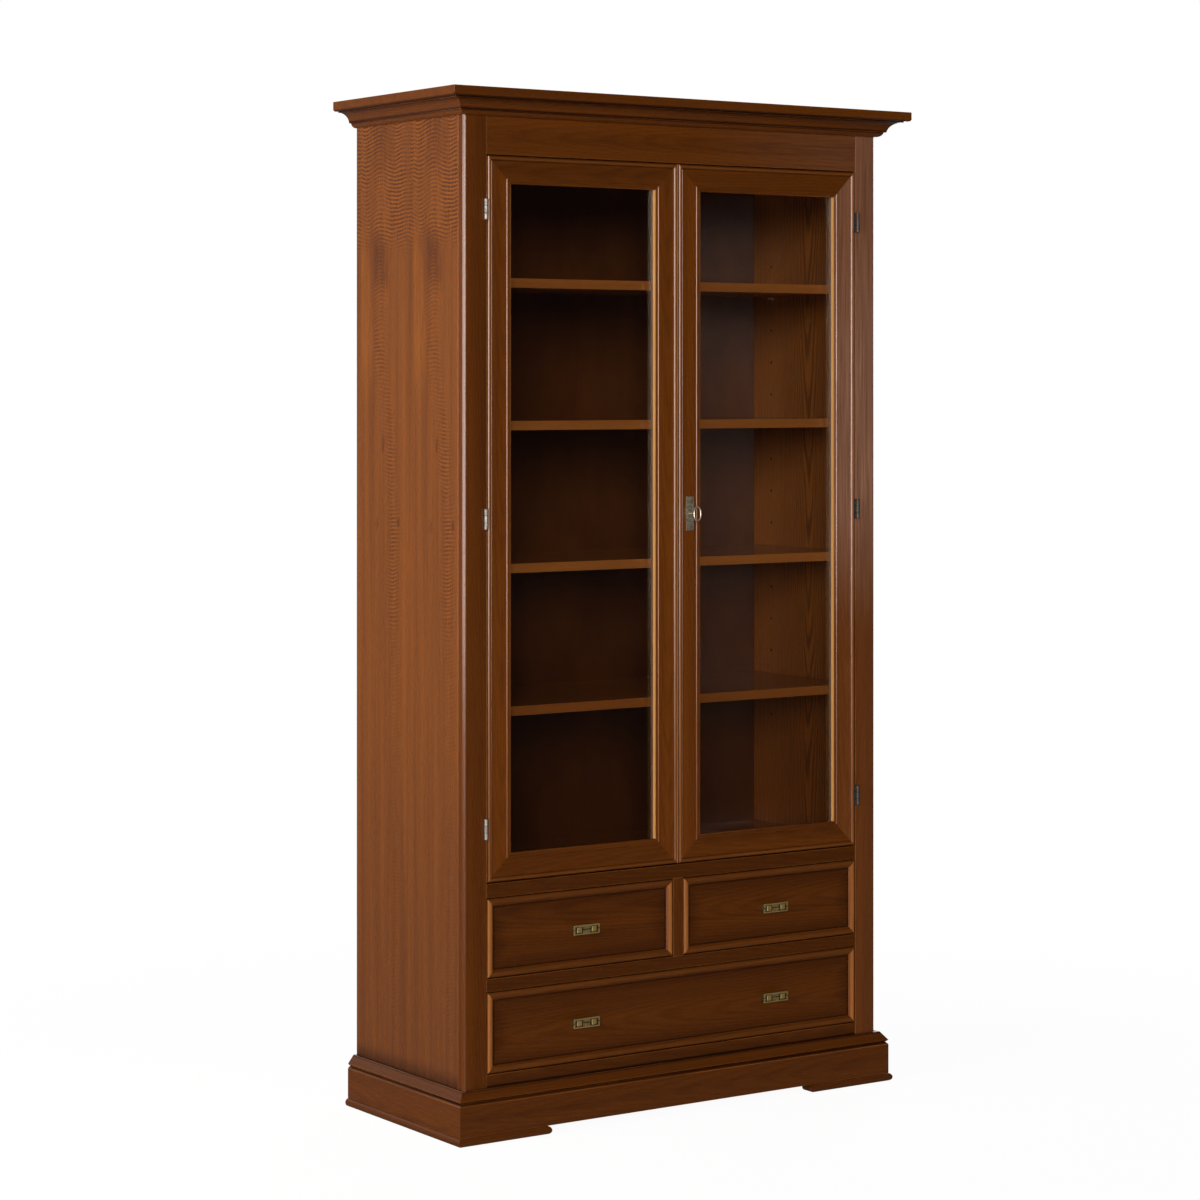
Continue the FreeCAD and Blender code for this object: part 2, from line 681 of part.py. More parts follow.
def surface_bolt(tip, inward):
    """A bolt behind the left door and the guide that it slides in. inward points from its tip to its tail."""
    start = Vector(-STILE_MIDDLE, BOLT_Y, tip)
    end = start + Vector(0, 0, inward * BOLT_LENGTH)
    middle = start + Vector(0, 0, inward * (BOLT_TIP_SHOWN + BOLT_LENGTH) / 2)
    knob = rod(BOLT_KNOB_RADIUS, middle, middle + Vector(0, BOLT_RADIUS + BOLT_KNOB_LENGTH, 0))
    bolt = joined([rod(BOLT_RADIUS, start, end), knob])
    first = tip + inward * BOLT_TIP_SHOWN
    low = min(first, end.z)
    high = max(first, end.z)
    x0 = -STILE_MIDDLE - BOLT_PLATE_WIDTH / 2
    x1 = -STILE_MIDDLE + BOLT_PLATE_WIDTH / 2
    pieces = [box(x0, x1, DOOR_BACK, DOOR_BACK + BOLT_PLATE_THICKNESS, low, high)]
    reach = BOLT_RADIUS + BOLT_FIT + BOLT_GUIDE_WALL
    for z in (low, high - BOLT_GUIDE_HEIGHT):
        x = -STILE_MIDDLE
        pieces.append(box(x - reach, x + reach, DOOR_BACK, BOLT_Y + reach, z, z + BOLT_GUIDE_HEIGHT))
    past = Vector(0, 0, inward * OVERRUN)
    bore = rod(BOLT_RADIUS + BOLT_FIT, start - past, end + past)
    return bolt, joined(pieces).cut(bore)


def lock_strike():
    """The plate on the left door that the lock's bolt shoots behind."""
    x1 = -DOOR_MEET - LOCK_SETBACK
    half = STRIKE_HEIGHT / 2
    return box(x1 - STRIKE_WIDTH, x1, DOOR_BACK, LOCK_BOLT_FRONT - LOCK_PLAY, LOCK_Z - half, LOCK_Z + half)


def key_bore(y0, y1):
    """The round hole for the key between two depths."""
    radius = KEY_RADIUS + KEY_PLAY
    return rod(radius, Vector(STILE_MIDDLE, y0, LOCK_Z), Vector(STILE_MIDDLE, y1, LOCK_Z))


def lock_case():
    """The lock's hollow case behind the right door."""
    half = LOCK_HEIGHT / 2
    x1 = LOCK_EDGE + LOCK_WIDTH
    outer = box(LOCK_EDGE, x1, DOOR_BACK, LOCK_BACK, LOCK_Z - half, LOCK_Z + half)
    hollow = box(
        LOCK_EDGE + LOCK_WALL, x1 - LOCK_WALL,
        DOOR_BACK + LOCK_WALL, LOCK_BACK - LOCK_WALL,
        LOCK_Z - half + LOCK_WALL, LOCK_Z + half - LOCK_WALL,
    )
    slot_half = LOCK_BOLT_HEIGHT / 2 + LOCK_PLAY
    slot = box(
        LOCK_EDGE - OVERRUN, LOCK_EDGE + LOCK_WALL + LOCK_PLAY,
        LOCK_BOLT_FRONT - LOCK_PLAY, LOCK_BOLT_BACK + LOCK_PLAY,
        LOCK_Z - slot_half, LOCK_Z + slot_half,
    )
    return outer.cut([hollow, slot, key_bore(DOOR_BACK - OVERRUN, DOOR_BACK + LOCK_WALL)])


def lock_bolt():
    """The lock's flat bolt, drawn in flush with its case."""
    half = LOCK_BOLT_HEIGHT / 2
    x1 = LOCK_EDGE + LOCK_BOLT_LENGTH
    return box(LOCK_EDGE, x1, LOCK_BOLT_FRONT, LOCK_BOLT_BACK, LOCK_Z - half, LOCK_Z + half)


def escutcheon():
    """The key plate with its bulged sides and keyhole, and the two nails that hold it."""
    half_width = ESCUTCHEON_WIDTH / 2
    half = ESCUTCHEON_HEIGHT / 2
    bulge = ESCUTCHEON_BULGE_HEIGHT / 2
    belly = half_width + ESCUTCHEON_BULGE
    points = [
        (-half_width, -half),
        (half_width, -half),
        (half_width, -bulge),
        ((belly, 0), (half_width, bulge)),
        (half_width, half),
        (-half_width, half),
        (-half_width, bulge),
        ((-belly, 0), (-half_width, -bulge)),
    ]
    plate = outline(points).extrude(Vector(ESCUTCHEON_THICKNESS, 0, 0))
    plate = placed(plate, Vector(STILE_MIDDLE, FLAT_FACE, LOCK_Z), Vector(0, -1, 0), Vector(1, 0, 0))
    face = FLAT_FACE - ESCUTCHEON_THICKNESS
    slot = box(
        STILE_MIDDLE - KEYHOLE_SLOT_WIDTH / 2, STILE_MIDDLE + KEYHOLE_SLOT_WIDTH / 2,
        face - OVERRUN, FLAT_FACE, LOCK_Z - KEYHOLE_SLOT_DROP, LOCK_Z,
    )
    plate = plate.cut([slot, key_bore(face - OVERRUN, FLAT_FACE)])
    nails = []
    for z in (LOCK_Z - half + ESCUTCHEON_NAIL_INSET, LOCK_Z + half - ESCUTCHEON_NAIL_INSET):
        foot = Vector(STILE_MIDDLE, face, z)
        nails.append(rod(NAIL_RADIUS, foot, foot - Vector(0, NAIL_RISE, 0)))
    return [plate] + nails


def key_bow(centre):
    """The key's oval ring of round wire: two half rings joined by two straights."""
    turn = BOW_DEPTH / 2 - BOW_WIRE_RADIUS
    upper = centre + Vector(0, 0, BOW_STRAIGHT / 2)
    lower = centre - Vector(0, 0, BOW_STRAIGHT / 2)
    back = Vector(0, turn, 0)
    top = Vector(0, 0, turn)
    path = Part.Wire([
        Part.Arc(upper - back, upper + top, upper + back).toShape(),
        Part.LineSegment(upper + back, lower + back).toShape(),
        Part.Arc(lower + back, lower - top, lower - back).toShape(),
        Part.LineSegment(lower - back, upper - back).toShape(),
    ])
    section = Part.makeCircle(BOW_WIRE_RADIUS, upper - back, Vector(0, 0, 1))
    return path.makePipeShell([Part.Wire(section)], True, False)


def key():
    """The key: a round shank, a bit inside the lock and an oval ring for a bow."""
    tip = LOCK_BOLT_FRONT - LOCK_PLAY
    ring_back = FLAT_FACE - ESCUTCHEON_THICKNESS - KEY_SHOWN
    shank_start = Vector(STILE_MIDDLE, ring_back - BOW_WIRE_RADIUS, LOCK_Z)
    shank = rod(KEY_RADIUS, shank_start, Vector(STILE_MIDDLE, tip, LOCK_Z))
    bit_front = DOOR_BACK + LOCK_WALL + LOCK_PLAY
    bit = box(
        STILE_MIDDLE - KEY_BIT_WIDTH / 2, STILE_MIDDLE + KEY_BIT_WIDTH / 2,
        bit_front, bit_front + KEY_BIT_DEPTH, LOCK_Z - KEY_BIT_DROP, LOCK_Z,
    )
    return joined([shank, bit, key_bow(Vector(STILE_MIDDLE, ring_back - BOW_DEPTH / 2, LOCK_Z))])


def drawer_front(x0, x1, z0, z1):
    """A drawer's front panel with the mitred moulding planted round it."""
    panel = box(x0, x1, PANEL_FACE, BOX_FRONT, z0, z1)
    edge = (0, DRAWER_MOULDING_EDGE)
    crest = (DRAWER_MOULDING_CREST, PANEL_DROP)
    lip = (DRAWER_MOULDING_WIDTH, DRAWER_MOULDING_LIP)
    points = [(0, 0), edge, *bead(edge, crest, lip), (DRAWER_MOULDING_WIDTH, 0)]
    uprights, crosspieces = framed(points, x0, x1, PANEL_FACE, z0, z1)
    return [panel] + uprights + crosspieces


def drawer_box(x0, x1, z0, z1):
    """A drawer's two sides, back and bottom."""
    wall = DRAWER_SIDE_THICKNESS
    floor = z0 + DRAWER_BOTTOM_INSET
    return [
        box(x0, x0 + wall, BOX_FRONT, BOX_BACK, z0, z1),
        box(x1 - wall, x1, BOX_FRONT, BOX_BACK, z0, z1),
        box(x0 + wall, x1 - wall, BOX_BACK - wall, BOX_BACK, z0, z1),
        box(x0 + wall, x1 - wall, BOX_FRONT, BOX_BACK - wall, floor, floor + DRAWER_BOTTOM_THICKNESS),
    ]


def pull_block(x0, x1, off0, off1, z0, z1):
    """A block of a pull, its depth counted forward from the drawer's panel."""
    return box(x0, x1, PANEL_FACE - off1, PANEL_FACE - off0, z0, z1)


def pull_plate(x, height):
    """The fixed half of a pull: rim, middle panel, web, studs and the pins that the drop half turns on."""
    half = PULL_WIDTH / 2
    pivot_y = PANEL_FACE - PIVOT_OFF
    pivot_z = height - PIVOT_DROP
    low = pivot_z + DROP_SWEEP
    high = height + PULL_HEIGHT / 2
    web_top = high - PULL_WEB_MARGIN
    panel = PULL_PANEL_WIDTH / 2
    pieces = [
        pull_block(x - half, x + half, PULL_OFF, PULL_RIM, high - PULL_RIM_WIDTH, high),
        pull_block(x - half, x - half + PULL_RIM_WIDTH, PULL_OFF, PULL_RIM, low, high),
        pull_block(x + half - PULL_RIM_WIDTH, x + half, PULL_OFF, PULL_RIM, low, high),
        pull_block(x - panel, x + panel, PULL_OFF, PULL_FACE, low, high),
        pull_block(x - half, x + half, PULL_OFF - PULL_WEB_THICKNESS, PULL_OFF, low, web_top),
    ]
    pin_end = half - PULL_RIM_WIDTH + PIVOT_DEPTH
    for way in (-1, 1):
        middle = x + way * STUD_SPACING / 2
        reach = STUD_SIZE / 2
        stud = pull_block(middle - reach, middle + reach, 0, STUD_FRONT, height - reach, height + reach)
        nose = [e for e in stud.Edges if e.BoundBox.YMax < PANEL_FACE - PULL_OFF]
        pieces.append(stud.makeFillet(STUD_ROUNDING, nose))
        start = Vector(middle, pivot_y, pivot_z)
        pieces.append(rod(PIVOT_RADIUS, start, Vector(x + way * pin_end, pivot_y, pivot_z)))
    return joined(pieces)


def pull_drop(x, height):
    """The drop half of a pull, which swings up and out on the pins of the fixed half."""
    half = PULL_WIDTH / 2
    low = height - PULL_HEIGHT / 2
    high = height - PULL_SPLIT
    pivot_z = height - PIVOT_DROP
    pivot_y = PANEL_FACE - PIVOT_OFF
    panel = PULL_PANEL_WIDTH / 2
    pieces = [
        pull_block(x - half, x + half, PULL_OFF, PULL_RIM, low, pivot_z - STUD_SWEEP),
        pull_block(x - half, x - half + PULL_RIM_WIDTH, PULL_OFF, PULL_RIM, low, high),
        pull_block(x + half - PULL_RIM_WIDTH, x + half, PULL_OFF, PULL_RIM, low, high),
        pull_block(x - panel, x + panel, PULL_OFF, PULL_FACE, low, high),
    ]
    pin_end = half - PULL_RIM_WIDTH + PIVOT_DEPTH + PULL_PLAY
    bores = []
    for way in (-1, 1):
        start = Vector(x + way * STUD_SPACING / 2, pivot_y, pivot_z)
        bores.append(rod(PIVOT_RADIUS + PIVOT_FIT, start, Vector(x + way * pin_end, pivot_y, pivot_z)))
    return joined(pieces).cut(bores)


def case_nodes():
    """Everything that stands still."""
    floor_bottom = FLOOR_TOP - BOARD_THICKNESS
    partition = box(-HALF_MUNTIN, HALF_MUNTIN, CASE_FRONT, BACK_FACE, SMALL_BOTTOM, floor_bottom)
    pins = pin_rods(pin_heights(), 0)
    frame_leaves = [frame_leaf(height) for height in HINGE_HEIGHTS]
    hinge_pins = [hinge_pin(height, 0) for height in HINGE_HEIGHTS]
    screws = back_screws()
    foot = runner_foot()
    side = [side_panel()]
    post = [front_post()]
    nodes = {
        "left_side_panel": side,
        "right_side_panel": mirrored(side),
        "left_front_post": post,
        "right_front_post": mirrored(post),
        "back_panel": [back_panel()],
        "back_screws": screws + mirrored(screws),
        "cabinet_ceiling": [cabinet_ceiling()],
        "cabinet_floor": [cabinet_floor()],
        "frieze_rail": [rail(DOORWAY_TOP, SLAB_BOTTOM)],
        "middle_rail": [rail(SMALL_TOP, DOORWAY_BOTTOM)],
        "drawer_rail": [rail(WIDE_TOP, SMALL_BOTTOM)],
        "base_rail": [rail(PLINTH_TOP, WIDE_BOTTOM)],
        "drawer_muntin": [box(-HALF_MUNTIN, HALF_MUNTIN, RAIL_FRONT, RAIL_BACK, SMALL_BOTTOM, SMALL_TOP)],
        "drawer_partition": [partition],
        "drawer_shelf": [inner_board(CASE_FRONT, SMALL_BOTTOM - BOARD_THICKNESS, SMALL_BOTTOM)],
        "bottom_panel": [inner_board(CASE_FRONT, WIDE_BOTTOM - BOARD_THICKNESS, WIDE_BOTTOM)],
        "drawer_guides": drawer_guides(),
        "cornice_slab": [cornice_slab()],
        "cornice_moulding": cornice_moulding(),
        "plinth_boards": plinth_boards(),
        "plinth_cap": plinth_cap(),
        "left_foot": foot,
        "right_foot": mirrored(foot),
        "shelf_pins": pins + mirrored(pins),
        "hinge_post_leaves": frame_leaves + mirrored(frame_leaves),
        "hinge_pins": hinge_pins + mirrored(hinge_pins),
    }
    for number, top in enumerate(shelf_tops(), 1):
        nodes[f"shelf_{number}"] = [shelf(top)]
    return nodes


def door_nodes():
    """Both doors and the hardware on them."""
    stiles, rails = door_frame()
    leaves = [door_leaf(height) for height in HINGE_HEIGHTS]
    glass = [door_glass()]
    beads = glazing_beads()
    upper_bolt, upper_guide = surface_bolt(CEILING_BOTTOM - BOLT_RETREAT, -1)
    lower_bolt, lower_guide = surface_bolt(FLOOR_TOP + BOLT_RETREAT, 1)
    hinge_stile, meeting_stile = mirrored(stiles)
    meeting_stile = meeting_stile.cut(key_bore(DOOR_FRONT - OVERRUN, DOOR_BACK + OVERRUN))
    return {
        "left_door_stiles": stiles,
        "left_door_rails": rails,
        "left_door_glass": glass,
        "left_door_glazing_beads": beads,
        "left_door_hinge_leaves": leaves,
        "left_door_fittings": [upper_guide, lower_guide, lock_strike()],
        "right_door_stiles": [hinge_stile, meeting_stile],
        "right_door_rails": mirrored(rails),
        "right_door_glass": mirrored(glass),
        "right_door_glazing_beads": mirrored(beads),
        "right_door_hinge_leaves": mirrored(leaves),
        "lock_case": [lock_case()],
        "escutcheon": escutcheon(),
        "key": [key()],
        "lock_bolt": [lock_bolt()],
        "upper_bolt": [upper_bolt],
        "lower_bolt": [lower_bolt],
    }


def drawer_nodes():
    """The three drawers and their pulls."""
    nodes = {}
    wide = (-OPENING_SIDE, OPENING_SIDE, WIDE_BOTTOM, WIDE_TOP)
    left = (-OPENING_SIDE, -HALF_MUNTIN, SMALL_BOTTOM, SMALL_TOP)
    right = (HALF_MUNTIN, OPENING_SIDE, SMALL_BOTTOM, SMALL_TOP)
    pulls = {"left": [-SMALL_MIDDLE], "right": [SMALL_MIDDLE], "wide": [-SMALL_MIDDLE, SMALL_MIDDLE]}
    for name, (x0, x1, z0, z1) in (("left", left), ("right", right), ("wide", wide)):
        gap = FRONT_GAP
        play = DRAWER_SIDE_PLAY
        nodes[f"{name}_drawer_front"] = drawer_front(x0 + gap, x1 - gap, z0 + gap, z1 - gap)
        top = z1 - DRAWER_HEADROOM
        nodes[f"{name}_drawer_box"] = drawer_box(x0 + play, x1 - play, z0 + DRAWER_RUN_PLAY, top)
        height = (z0 + z1) / 2
        nodes[f"{name}_drawer_pull_plates"] = [pull_plate(x, height) for x in pulls[name]]
        for number, x in enumerate(pulls[name], 1):
            label = f"{name}_drawer_drop" if len(pulls[name]) == 1 else f"{name}_drawer_drop_{number}"
            nodes[label] = [pull_drop(x, height)]
    return nodes


def main():
    """Writes one file for each named piece."""
    os.makedirs("parts", exist_ok=True)
    nodes = {**case_nodes(), **door_nodes(), **drawer_nodes()}
    for name, solids in nodes.items():
        shape = solids[0] if len(solids) == 1 else Part.makeCompound(solids)
        shape.exportStep(f"parts/{name}.step")
    print(len(nodes), "nodes,", sum(len(solids) for solids in nodes.values()), "solids")


main()
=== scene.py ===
"""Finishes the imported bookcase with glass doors, and sets a white studio round it.

Wood pieces stand in for their CAD nodes as copies with eased arrises that know which way each board's grain runs.
They are stained and lacquered. Glass and metal stay the CAD nodes and get finishes of their own.
"""
import json
import math
import random

import bmesh
import bpy
from bpy.props import FloatProperty, FloatVectorProperty, PointerProperty
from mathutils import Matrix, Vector

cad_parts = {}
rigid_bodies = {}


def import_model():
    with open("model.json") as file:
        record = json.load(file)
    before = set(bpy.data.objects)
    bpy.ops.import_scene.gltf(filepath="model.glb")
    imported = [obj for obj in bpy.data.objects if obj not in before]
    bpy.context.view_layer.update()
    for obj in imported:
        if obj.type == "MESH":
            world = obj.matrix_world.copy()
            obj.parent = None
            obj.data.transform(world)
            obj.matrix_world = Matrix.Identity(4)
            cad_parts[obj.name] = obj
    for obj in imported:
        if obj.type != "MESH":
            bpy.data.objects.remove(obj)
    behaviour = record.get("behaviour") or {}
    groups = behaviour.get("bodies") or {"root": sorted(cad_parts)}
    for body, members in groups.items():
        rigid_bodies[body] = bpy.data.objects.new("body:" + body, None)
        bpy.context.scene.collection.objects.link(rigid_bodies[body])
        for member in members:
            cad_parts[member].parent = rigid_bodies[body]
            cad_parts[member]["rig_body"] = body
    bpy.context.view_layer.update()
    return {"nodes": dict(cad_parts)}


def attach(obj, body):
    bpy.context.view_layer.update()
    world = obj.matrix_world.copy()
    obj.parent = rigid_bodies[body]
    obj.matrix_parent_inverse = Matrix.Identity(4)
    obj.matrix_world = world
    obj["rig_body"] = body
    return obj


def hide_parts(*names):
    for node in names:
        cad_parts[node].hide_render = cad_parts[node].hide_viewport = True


bl_info = {
    "name": "Bookcase with glass doors",
    "version": (1, 0, 0),
    "blender": (4, 5, 0),
    "location": "3D View > Sidebar > Bookcase",
    "description": "Finishes the boards, panes and brass of a bookcase and sets up its studio",
    "category": "Object",
}

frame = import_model()

MILLIMETRE = 0.001

# How boards are read out of a node and eased.
PLACE_STEP = 1e-6
FLAT_TURN = math.radians(0.5)
EASED_TURN = math.radians(40)
SHARP_TURN = math.radians(35)
LEAST_EASED = 8 * MILLIMETRE
WITH_GRAIN = 0.999
EASING_SEGMENTS = 2
TIMBER_STOCK = 4.0

# The way a board's own directions are counted.
ALONG, ACROSS, THROUGH = range(3)

# How a plain-sawn board lies in its trunk.
HEART_DEPTH = 30 * MILLIMETRE
HEART_SHIFT = 50 * MILLIMETRE
TRUNK_TAPER = 0.045
RING_WIDTH = 5 * MILLIMETRE
RING_WARP = 0.02
RING_REACH = (60 * MILLIMETRE, 150 * MILLIMETRE)
LATE_WOOD = (-0.4, 1.0)

# What runs in the wood, in waves a metre along, across and through the grain.
WANDER_WAVES = (2.2, 14.0, 14.0)
STREAK_WAVES = (0.8, 34.0, 34.0)
FIBRE_WAVES = (5.0, 420.0, 420.0)
PORE_WAVES = (34.0, 2100.0, 2100.0)
MOTTLE_WAVES = (4.0, 7.0, 7.0)

# How far the fibres wander, where a pore begins, and the levels between which fibres open.
FIBRE_BEND = (0.0, 0.009, 0.009)
PORE_START = (0.56, 0.72)
FIBRE_OPENS = (0.3, 0.7)

# The lacquer: its gloss, how much its roughness follows the fibres, and how much of their relief it shows.
LACQUER_GLOSS = 0.45
SHEEN_SPREAD = 0.04
BUMP_STRENGTH = 0.2
BUMP_DEPTH = 0.0002
BARE_SHEEN = 0.55

# The ripples of the side veneer, in waves a metre up and forward, and how they sway and break off.
RIPPLE_SWAY = 0.1
SWAY_TURNS = 0.5
DRIFT_WAVES = (5.0, 9.0, 0.0)
DRIFT_TURNS = 4.0
BREAK_WAVES = (45.0, 60.0, 0.0)
BREAK_WEIGHT = 2.4
RIPPLE_RISE = (-0.7, 0.8)
RIPPLE_GLOW = 0.6
PATCH_WAVES = (9.0, 30.0, 0.0)
PATCH_RISE = (0.32, 0.62, 0.3, 0.88)
RAGGED_WAVES = (5.0, 60.0, 0.0)

# Places in a leaf of the side veneer: up from the panel's foot, and forward from the leaf's joint.
CROWN_REACH = (1.60, 1.66)
LADDER_DRIFT = (1.10, 1.48, 0.128, 0.070)
LADDER_REACH = 0.045
LADDER_FADE = (0.4, 1.2, 0.35, 0.9)
# Painted shade: the veneer darkens toward the panel's foot between these heights.
FOOT_SHADE = (0.9, 0.1)
# Where a darker band on the veneer starts just above the plinth's cap, and how far up it reaches.
CAP_LINE = 0.021
CAP_BAND_REACH = 0.035
VENEER_MARKS = (
    ((1.600, 0.064), (0.075, 0.065), "dark", 0.8),
    ((1.50, 0.012), (0.20, 0.05), "light", 0.6),
    ((1.86, 0.085), (0.12, 0.06), "dark", 0.5),
    ((1.085, 0.062), (0.016, 0.010), "dark", 0.9),
    ((1.089, 0.145), (0.012, 0.008), "dark", 0.8),
    ((1.240, 0.086), (0.022, 0.008), "dark", 0.9),
)
MARK_CORE = 0.3

# Tints that darken a colour: painted shade in quirks, hinge splits, pin bores, toward the sides' foot and inside the
# cabinet; darker lines and bands beside hollows, drawer mouldings and the plinth's cap; and stain and patina where
# they lie thick.
DARK_TINT = (0.22, 0.17, 0.15)
PORE_STAIN = (0.35, 0.3, 0.3)
FOOT_SHADE_TINT = (0.79, 0.78, 0.84)
CAP_BAND_TINT = (0.3, 0.25, 0.25)
FIELD_LINE_TINT = (0.2, 0.15, 0.12)
FIELD_BAND_TINT = (0.35, 0.3, 0.28)
INSIDE_SHADE = (0.66, 0.58, 0.42)
MOTTLE_STAIN = (0.5, 0.45, 0.4)
BORE_SHADE = (0.03, 0.03, 0.03)
SPECK_STAIN = (0.45, 0.4, 0.35)
PULL_STAIN = (0.12, 0.12, 0.1)

# Heights of the quirks of the cornice and of the plinth, where painted shade lies as dark lines.
CORNICE_QUIRKS = (1.9605, 1.9805)
PLINTH_QUIRKS = (0.080, 0.1015)
QUIRK_REACH = 5 * MILLIMETRE

# How deep mouldings are rubbed below their crests, how wide the painted highlight on the stiles' worn edges is, and
# where their hollow lies.
BEAD_CREST = 1.2 * MILLIMETRE
MOULDING_CREST = 2.0 * MILLIMETRE
# The uprights' crest band carries their wear and their painted highlight.
UPRIGHT_CREST = 2.8 * MILLIMETRE
STILE_EDGE = 0.6 * MILLIMETRE
FRAME_HOLLOW = 3.2 * MILLIMETRE
HOLLOW_REACH = 0.75 * MILLIMETRE

# The moulding round a drawer's field, and how far the darkening beside it reaches as a line and as a wider band.
DRAWER_MOULDING = 14.5 * MILLIMETRE
FIELD_LINE = 5 * MILLIMETRE
FIELD_BAND_REACH = 45 * MILLIMETRE

# The right end's painted sheen, a painted reflection that makes the wood paler and greyer: from where to where it
# sets in upward, grows to the right and thins toward the top.
PAINTED_SHEEN_RISE = (0.90, 1.24, 0.07, 0.85)
PAINTED_SHEEN_ACROSS = (0.0, 0.44)
PAINTED_SHEEN_TOP = (1.45, 1.80, 1.0, 0.6)
FRIEZE_PAINTED_SHEEN = 0.32

# Heights between which painted shade darkens the inside of the cabinet toward its floor.
SHADE_BELOW = (1.20, 0.65)

# The rows of holes for the shelf pins, and the inner faces of the sides that they are bored into.
PIN_ROWS = (-88 * MILLIMETRE, 151 * MILLIMETRE)
PIN_ROW_REACH = 5 * MILLIMETRE
INNER_FACE = 480 * MILLIMETRE
BORE_START = 0.3 * MILLIMETRE

# Glass, in waves a metre where it was wiped.
GLASS_BENDING = 1.45
WIPING_WAVES = (9.0, 9.0, 3.0)

# Metal: patches, specks so many times finer, and scratches in waves a metre.
DULL_RISE = (0.35, 0.68)
SPECK_FINENESS = 9
SPECK_RISE = (0.55, 0.75)
SCRATCH_WAVES = (2600.0, 260.0, 2600.0)
DULL_SPREAD = 0.15

# Where the pulls' faces lie, and from where to where patina fills their hollows and hands rub them.
PULL_FACE = -191.7 * MILLIMETRE
PULL_EASING = 0.3 * MILLIMETRE
PULL_HOLLOW = (PULL_FACE - 0.3 * MILLIMETRE, PULL_FACE + 1.2 * MILLIMETRE)
PULL_RUBBED = (PULL_FACE - 0.9 * MILLIMETRE, PULL_FACE - 0.2 * MILLIMETRE)

# The middles of the hinges, and the splits between their knuckles, where painted shade lies.
HINGE_HEIGHTS = (0.593, 1.1825, 1.772)
HINGE_MARKS = (6.7 * MILLIMETRE, 20 * MILLIMETRE)
HINGE_MARK_REACH = 1.6 * MILLIMETRE

DOORS = ("left_door", "right_door")
DRAWERS = ("left_drawer", "right_drawer", "wide_drawer")
SHELVES = ("shelf_1", "shelf_2", "shelf_3", "shelf_4")


def colour(name, description, default):
    """A colour that a user would change."""
    return FloatVectorProperty(
        name=name, description=description, default=default, subtype="COLOR", size=3, min=0.0, max=1.0
    )


def length(name, description, default):
    """A length that a user would change."""
    return FloatProperty(
        name=name, description=description, default=default, min=0.0, subtype="DISTANCE", unit="LENGTH", precision=5
    )


def share(name, description, default):
    """A share from nothing to all."""
    return FloatProperty(name=name, description=description, default=default, min=0.0, max=1.0, subtype="FACTOR")


def watts(name, description, default):
    """A lamp's power."""
    return FloatProperty(name=name, description=description, default=default, min=0.0, subtype="POWER", unit="POWER")


